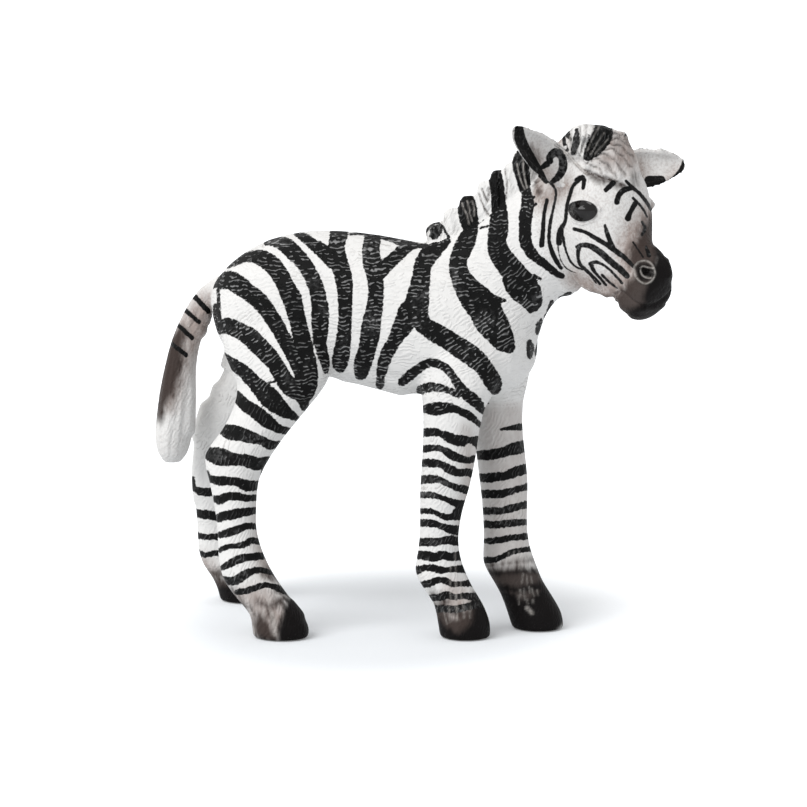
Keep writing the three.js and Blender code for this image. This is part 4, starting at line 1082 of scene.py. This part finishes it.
# %% Areas of leaning and hanging fur
leaning_areas = [
    [(450, 330, 60), (490, 350, 70), (520, 290, 60), (515, 240, 30)],
    [(240, 320, 40), (270, 370, 50)],
    [(440, 400, 60), (440, 440, 60)],
]
hair_area = [(575, 138, 22), (592, 142, 36), (612, 150, 36), (628, 160, 26)]
leaning_softness = 40
hanging_rounds = 40
hair_softness = 6
tail_smoothness = 0.6
hanging = 1 - of_node["trunk"].astype(float)
hanging = softened(hanging[:, None], everywhere, hanging_rounds)[:, 0]
leaning = airbrush(spots, leaning_areas, leaning_softness) * (1 - hanging)
in_hair = airbrush(spots, [hair_area], hair_softness)
fine_skin = of_node["head"] * (1 - in_hair) + on_pieces(["left_ear", "right_ear"])
fine_skin[of_node["tail"]] = tail_smoothness
print("leaning:", round(float(leaning.mean()), 3), "hanging:", round(float(hanging.mean()), 3))

# %% Store the paint with the skin
attribute_values = {
    "stripe": stripe,
    "soot": soot,
    "umber_and_shade": umber_and_shade,
    "dust_and_shade": dust_and_shade,
    "eye": eye,
    "pale": pale,
    "groove": groove,
    "crease": crease,
    "leaning": leaning,
    "hanging": hanging,
    "fine_skin": fine_skin,
}
for name, values in attribute_values.items():
    layer = skin_mesh.attributes.new(name, "FLOAT", "POINT")
    layer.data.foreach_set("value", values.astype(np.float32))
print("stored", list(attribute_values))

# %% [markdown]
# ## Cut the skin into the toy's pieces
# Each piece takes the faces that belong to its solid. Its rim is turned inwards and closed, so the piece is
# a solid body, and it keeps the normals of the whole skin, so that no shading line shows where two pieces
# meet.

# %% Find the piece of each face
corner_points = np.empty(len(skin_mesh.loops), np.int32)
skin_mesh.loops.foreach_get("vertex_index", corner_points)
face_starts = np.empty(len(skin_mesh.polygons), np.int32)
skin_mesh.polygons.foreach_get("loop_start", face_starts)
face_piece = np.add.reduceat(belongs[corner_points], face_starts, axis=0).argmax(axis=1)
print("faces:", {node: int((face_piece == order).sum()) for order, node in enumerate(body_nodes)})

# %% Cut out each piece
rim_depth = 0.35 * millimetre
foal_pieces = {}
for order, node in enumerate(body_nodes):
    cut = bmesh.new()
    cut.from_mesh(skin_mesh)
    source = cut.verts.layers.int.new("source")
    for point in cut.verts:
        point[source] = point.index
    cut.faces.ensure_lookup_table()
    others = [cut.faces[i] for i in np.nonzero(face_piece != order)[0]]
    bmesh.ops.delete(cut, geom=others, context="FACES")
    rim = [edge for edge in cut.edges if edge.is_boundary]
    turned_in = bmesh.ops.extrude_edge_only(cut, edges=rim)["geom"]
    for point in (item for item in turned_in if isinstance(item, bmesh.types.BMVert)):
        point.co -= Vector(skin_normals[point[source]]) * rim_depth
    inner_rim = [edge for edge in cut.edges if edge.is_boundary]
    bmesh.ops.holes_fill(cut, edges=inner_rim, sides=0)
    mesh = bpy.data.meshes.new(node + "_skin")
    cut.to_mesh(mesh)
    cut.free()
    kept = np.empty(len(mesh.vertices), np.int32)
    mesh.attributes["source"].data.foreach_get("value", kept)
    mesh.attributes.remove(mesh.attributes["source"])
    mesh.normals_split_custom_set_from_vertices(skin_normals[kept].tolist())
    piece = bpy.data.objects.new(node + "_skin", mesh)
    bpy.context.scene.collection.objects.link(piece)
    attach(piece, "root")
    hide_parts(node)
    foal_pieces[node] = piece
    print(node, len(mesh.polygons), "faces", len(rim), "rim edges")

# %% [markdown]
# ## A small language for materials
# A material is a graph of nodes. Written as sums and products of sockets, a graph reads like the formula it
# is. The class below wraps a socket, and its operators add Math nodes. Every other node comes from one
# method.

# %% Write shader maths as Python
class Socket:
    def __init__(self, tree, end):
        self.tree = tree
        self.end = end

    def add(self, kind, settings=None, inputs=None, output=0):
        node = self.tree.nodes.new(kind)
        for name, value in (settings or {}).items():
            setattr(node, name, value)
        for name, value in (inputs or {}).items():
            if isinstance(value, Socket):
                self.tree.links.new(value.end, node.inputs[name])
            else:
                node.inputs[name].default_value = value
        return Socket(self.tree, node.outputs[output])

    def math(self, operation, first, second=0):
        return self.add("ShaderNodeMath", {"operation": operation}, {0: first, 1: second})

    def __add__(self, other):
        return self.math("ADD", self, other)

    def __sub__(self, other):
        return self.math("SUBTRACT", self, other)

    def __mul__(self, other):
        return self.math("MULTIPLY", self, other)

    def __radd__(self, other):
        return self.math("ADD", other, self)

    def __rsub__(self, other):
        return self.math("SUBTRACT", other, self)

    def __rmul__(self, other):
        return self.math("MULTIPLY", other, self)

    def maximum(self, other):
        return self.math("MAXIMUM", self, other)

    def smooth_step(self, start, end):
        return self.add("ShaderNodeMapRange", {"interpolation_type": "SMOOTHSTEP"},
                        {"Value": self, "From Min": start, "From Max": end})

    def mix(self, first, second):
        return self.add("ShaderNodeMix", {"data_type": "RGBA"}, {"Factor": self, "A": first, "B": second},
                        output="Result")


def new_material(name):
    material = bpy.data.materials.new(name)
    material.use_nodes = True
    material.node_tree.nodes.clear()
    return material, Socket(material.node_tree, None)


def finish_material(graph, shader):
    output = graph.tree.nodes.new("ShaderNodeOutputMaterial")
    graph.tree.links.new(shader.end, output.inputs["Surface"])
    print("a graph of", len(graph.tree.nodes), "nodes")


# %% [markdown]
# ## Floor, world and lamp
# The toy stands on pale paper in a light tent: white all round, with one large soft lamp on the left. The
# paper and the world look white to the camera and in reflections, and light the toy only a little. So that
# its soft shade stays near the feet, the paper glows a little beside them, and more the further from the
# toy.

# %% Pale paper floor
floor_size = 4
floor_shape = bmesh.new()
bmesh.ops.create_grid(floor_shape, x_segments=1, y_segments=1, size=floor_size / 2)
floor_mesh = bpy.data.meshes.new("studio_floor")
floor_shape.to_mesh(floor_mesh)
floor_shape.free()
floor = bpy.data.objects.new("studio_floor", floor_mesh)
bpy.context.scene.collection.objects.link(floor)
paper, graph = new_material("pale_paper")
print("floor", floor_size, "metres wide")


# %% Let the paper glow away from the toy
def seen_directly(graph):
    light_path = graph.add("ShaderNodeLightPath").end.node
    ways = [Socket(graph.tree, light_path.outputs[name])
            for name in ("Is Camera Ray", "Is Glossy Ray", "Is Transmission Ray")]
    return ways[0].maximum(ways[1]).maximum(ways[2])


white = (1, 1, 1, 1)
black = (0, 0, 0, 1)
paper_colour = (0.78, 0.805, 0.83, 1)
glow_by_feet = 0.13
glow_further = 0.5
glow_middle = (4 * millimetre, -2 * millimetre, 0)
glow_shape = (1, 0.8, 1)
glow_start = 16 * millimetre
glow_end = 36 * millimetre
place = graph.add("ShaderNodeTexCoord", output="Object")
place = graph.add("ShaderNodeMapping", None, {"Vector": place, "Location": glow_middle, "Scale": glow_shape})
away = graph.add("ShaderNodeVectorMath", {"operation": "LENGTH"}, {0: place}, output="Value")
glow = glow_by_feet + away.smooth_step(glow_start, glow_end) * glow_further
paper_surface = graph.add("ShaderNodeBsdfDiffuse", None, {"Color": paper_colour})
paper_glow = graph.add("ShaderNodeEmission", None, {"Color": glow.mix(black, white),
                                                    "Strength": seen_directly(graph)})
finish_material(graph, graph.add("ShaderNodeAddShader", None, {0: paper_surface, 1: paper_glow}))
floor_mesh.materials.append(paper)

# %% White world
tent_light = 0.6
world = bpy.data.worlds.new("light_tent")
world.use_nodes = True
bpy.context.scene.world = world
world.node_tree.nodes.clear()
graph = Socket(world.node_tree, None)
tent_strength = tent_light + seen_directly(graph) * (1 - tent_light)
background = graph.add("ShaderNodeBackground", None, {"Color": white, "Strength": tent_strength})
output = world.node_tree.nodes.new("ShaderNodeOutputWorld")
world.node_tree.links.new(background.end, output.inputs["Surface"])
bpy.context.scene.view_settings.view_transform = "Standard"
print("the tent lights at", tent_light)

# %% A large soft lamp
lamp_strength = 2
lamp_spread = math.radians(40)
lamp_place = Vector((-0.34, -0.46, 0.56))
lamp_data = bpy.data.lights.new("left_softbox", "SUN")
lamp_data.energy = lamp_strength
lamp_data.angle = lamp_spread
lamp = bpy.data.objects.new("left_softbox", lamp_data)
lamp.location = lamp_place
lamp.rotation_mode = "QUATERNION"
lamp.rotation_quaternion = (-lamp_place).to_track_quat("-Z", "Y")
bpy.context.scene.collection.objects.link(lamp)
print("lamp of strength", lamp_strength)

# %% [markdown]
# ## Painted vinyl
# The toy is matt white vinyl with black stripes that shine a little. In the black the raised strokes of fur
# are painted grey: partly paint rubbed thin, partly a painted highlight where they would catch the lamp.
# In the white the colour is greyer between them. The fur could be carved too, but it is finer than the
# skin's faces, so it is a pattern that moves the colour and the normal together.

# %% Waves across the fur and noises of several sizes
fur_spacing = 0.44 * millimetre
fur_length = 0.8 * millimetre
fur_wander = 2.6


def noise(graph, place, scale, detail):
    return graph.add("ShaderNodeTexNoise", None, {"Vector": place, "Scale": scale, "Detail": detail})


def fur_strokes(graph, place, across, wander, dash):
    along_axis = graph.add("ShaderNodeVectorMath", {"operation": "DOT_PRODUCT"}, {0: place, 1: across},
                           output="Value")
    phase = along_axis * (2 * math.pi / fur_spacing) + (wander - 0.5) * (2 * math.pi * fur_wander)
    wave = phase.math("COSINE", phase) * 0.5 + 0.5
    return wave * dash


print(round(fur_spacing / millimetre, 2), "mm from stroke to stroke")

# %% Fur in three directions
wander_share = 0.6
dash_edge = (0.4, 0.52)
level_across = (-0.06, 0, 1)
lean_across = (-0.6, 0, 0.8)
hang_across = (-0.85, -0.6, 0.45)
hang_strength = 0.75


def fur_pattern(graph, place, leaning, hanging):
    wander = noise(graph, place, wander_share / fur_length, 2)
    dash = noise(graph, place, 1 / fur_length, 1).smooth_step(*dash_edge)
    level = fur_strokes(graph, place, level_across, wander, dash)
    lean = fur_strokes(graph, place, lean_across, wander, dash)
    hang = fur_strokes(graph, place, hang_across, wander, dash) * hang_strength
    return level * (1 - leaning - hanging) + lean * leaning + hang * hanging, dash


print("level, leaning and hanging fur across", level_across, lean_across, hang_across)

# %% White paint, greyer between the fur strokes, with dust and painted shade
clean_white = (0.8, 0.79, 0.775, 1)
between_fur_grey = (0.4, 0.385, 0.37, 1)
dust_and_shade_grey = (0.36, 0.3, 0.275, 1)
groove_edge = (0.3, 0)
between_fur_patches = (0.5, 0.65)
pore_edge = (0.55, 0.35)
between_fur_least = 0.1
between_fur_more = 0.5
dust_and_shade_least = 0.35
skin_dust = 0.06
pore_dust = 0.25


def dusted_and_shaded_white(kept, stroke, dash, wear_and_glint_patches, mottle, pores):
    between_fur = stroke.smooth_step(*groove_edge) * dash * (1 - kept["fine_skin"])
    # the white is greyer between the raised fur strokes
    greyed_between_fur = between_fur * (between_fur_least + between_fur_more * wear_and_glint_patches.smooth_step(*between_fur_patches))
    in_pores = kept["fine_skin"] * (skin_dust + pore_dust * pores.smooth_step(*pore_edge))
    # dust, with the painted shade of the face and the far foreleg
    dusting_and_shading = kept["dust_and_shade"] * (dust_and_shade_least + mottle) + in_pores
    return dusting_and_shading.mix(greyed_between_fur.mix(clean_white, between_fur_grey), dust_and_shade_grey)


print("white", clean_white[:3])

# %% Brown, painted shade with dirt in the creases and grooves, and soot
umber_and_shade_brown = (0.042, 0.03, 0.026, 1)
# the brown of the painted shade and dirt in creases and grooves
dirt_and_shade_brown = (0.07, 0.055, 0.05, 1)
soot_black = (0.006, 0.005, 0.005, 1)
umber_and_shade_strength = 0.97
umber_and_shade_raggedness = 7
soot_raggedness = 6
crease_shade_and_dirt = 0.75
groove_least = 0.4
groove_more = 0.5
groove_pebbles = (0.4, 0.55)


def ragged(amount, mottle, raggedness):
    return amount + amount * (1 - amount) * (mottle - 0.5) * raggedness


def shaded(kept, white_paint, mottle, pebble):
    # brown paint, with the painted shade under the forelock and the jaw and at the far ear
    browning_and_shade = ragged(kept["umber_and_shade"], mottle, umber_and_shade_raggedness) * umber_and_shade_strength
    in_grooves = kept["groove"] * (groove_least + groove_more * pebble.smooth_step(*groove_pebbles))
    # creases and grooves are darkened: painted shade, with some dirt
    dirt_and_shade = (kept["crease"] * crease_shade_and_dirt).maximum(in_grooves)
    sooted = ragged(kept["soot"], mottle, soot_raggedness)
    return sooted.mix(dirt_and_shade.mix(browning_and_shade.mix(white_paint, umber_and_shade_brown), dirt_and_shade_brown), soot_black)


print("brown", umber_and_shade_brown[:3], "dirt_and_shade", dirt_and_shade_brown[:3])

# %% Black paint, rubbed on the fur, with painted highlights on the raised strokes
full_ink = (0.005, 0.005, 0.005, 1)
thin_ink = (0.11, 0.11, 0.11, 1)
rubbed_and_glint_grey = (0.34, 0.34, 0.34, 1)
raised_fur = (0.58, 1)
glint_patches = (0.3, 0.62)
glint_density_least = 0.35
glint_pebbles = (0.35, 0.6)
glint_least = 0.4
glint_strength = 0.85
thin_patches = (0.5, 0.7)
thin_pebbles = (0.4, 0.62)
thin_strength = 0.6


def black_with_wear_and_glints(fur, wear_and_glint_patches, pebble):
    glint_density = wear_and_glint_patches.smooth_step(*glint_patches) * (1 - glint_density_least) + glint_density_least
    # painted highlight: raised fur strokes in the black are lighter, partly as rubbed paint
    glint = fur.smooth_step(*raised_fur) * glint_density
    glint = glint * (glint_least + (1 - glint_least) * pebble.smooth_step(*glint_pebbles))
    thinned = wear_and_glint_patches.smooth_step(*thin_patches) * pebble.smooth_step(*thin_pebbles)
    return (glint * glint_strength).mix((thinned * thin_strength).mix(full_ink, thin_ink), rubbed_and_glint_grey)


print("black", full_ink[:3], "rubbed to", rubbed_and_glint_grey[:3])

# %% Where the black, the light lines and the eye lie
line_light = (0.5, 0.47, 0.44, 1)
eye_black = (0.004, 0.003, 0.003, 1)
grain_on_fur = 3.5
grain_on_skin = 1.5
stripe_growth = 0.3
light_least = 0.5
light_pebbles = (0.38, 0.55)
half_pixel = 0.5


def is_black(kept, pebble):
    edge_grain = grain_on_fur - (grain_on_fur - grain_on_skin) * kept["fine_skin"]
    edge = kept["stripe"] + (pebble - 0.5) * edge_grain - stripe_growth
    return edge.smooth_step(half_pixel, -half_pixel)


def with_light_lines(kept, painted, pebble):
    light = light_least + (1 - light_least) * pebble.smooth_step(*light_pebbles)
    return (kept["pale"] * light).mix(painted, line_light)


print("stripes grow by", stripe_growth, "pixels")

# %% Grain, shine and relief of the finish
pebble_size = 0.4 * millimetre
pore_size = 0.25 * millimetre
patches_per_metre = 190
mottles_per_metre = (1600, 1600, 500)
vinyl_roughness = 0.55
eye_roughness = 0.15
vinyl_shine = 0.07
eye_coat = 0.45
coat_roughness = 0.08
relief_on_white = 0.45
relief_strength = 0.9
relief_depth = 0.13 * millimetre
print("pebbles of", round(pebble_size / millimetre, 2), "mm")


# %% One finish for the whole toy
def painted_vinyl(name):
    material, graph = new_material(name)
    place = graph.add("ShaderNodeTexCoord", output="Object")
    kept = {each: graph.add("ShaderNodeAttribute", {"attribute_name": each}, output="Fac")
            for each in attribute_values}
    stroke, dash = fur_pattern(graph, place, kept["leaning"], kept["hanging"])
    pebble = noise(graph, place, 1 / pebble_size, 3)
    pores = noise(graph, place, 1 / pore_size, 2)
    # patches of wear and of painted glints
    wear_and_glint_patches = noise(graph, place, patches_per_metre, 2)
    stretched = graph.add("ShaderNodeMapping", None, {"Vector": place, "Scale": mottles_per_metre})
    mottle = noise(graph, stretched, 1, 3)
    fur = kept["fine_skin"] * pebble + (1 - kept["fine_skin"]) * stroke
    white_paint = dusted_and_shaded_white(kept, stroke, dash, wear_and_glint_patches, mottle, pores)
    in_black = is_black(kept, pebble)
    painted = in_black.mix(shaded(kept, white_paint, mottle, pebble), black_with_wear_and_glints(fur, wear_and_glint_patches, pebble))
    in_eye = kept["eye"].smooth_step(half_pixel, -half_pixel)
    colour = in_eye.mix(with_light_lines(kept, painted, pebble), eye_black)
    fur_shown = relief_on_white + (1 - relief_on_white) * in_black.maximum(kept["fine_skin"])
    bump = graph.add("ShaderNodeBump", None, {"Height": fur * (1 - in_eye) * fur_shown,
                                              "Strength": relief_strength, "Distance": relief_depth})
    shader = graph.add("ShaderNodeBsdfPrincipled", None, {
        "Base Color": colour,
        "Roughness": vinyl_roughness - in_eye * (vinyl_roughness - eye_roughness),
        "Specular IOR Level": vinyl_shine,
        "Coat Weight": in_eye * eye_coat,
        "Coat Roughness": coat_roughness,
        "Normal": bump,
    })
    finish_material(graph, shader)
    return material


vinyl = painted_vinyl("painted_vinyl")
for piece in foal_pieces.values():
    piece.data.materials.clear()
    piece.data.materials.append(vinyl)
print("painted", len(foal_pieces), "pieces")
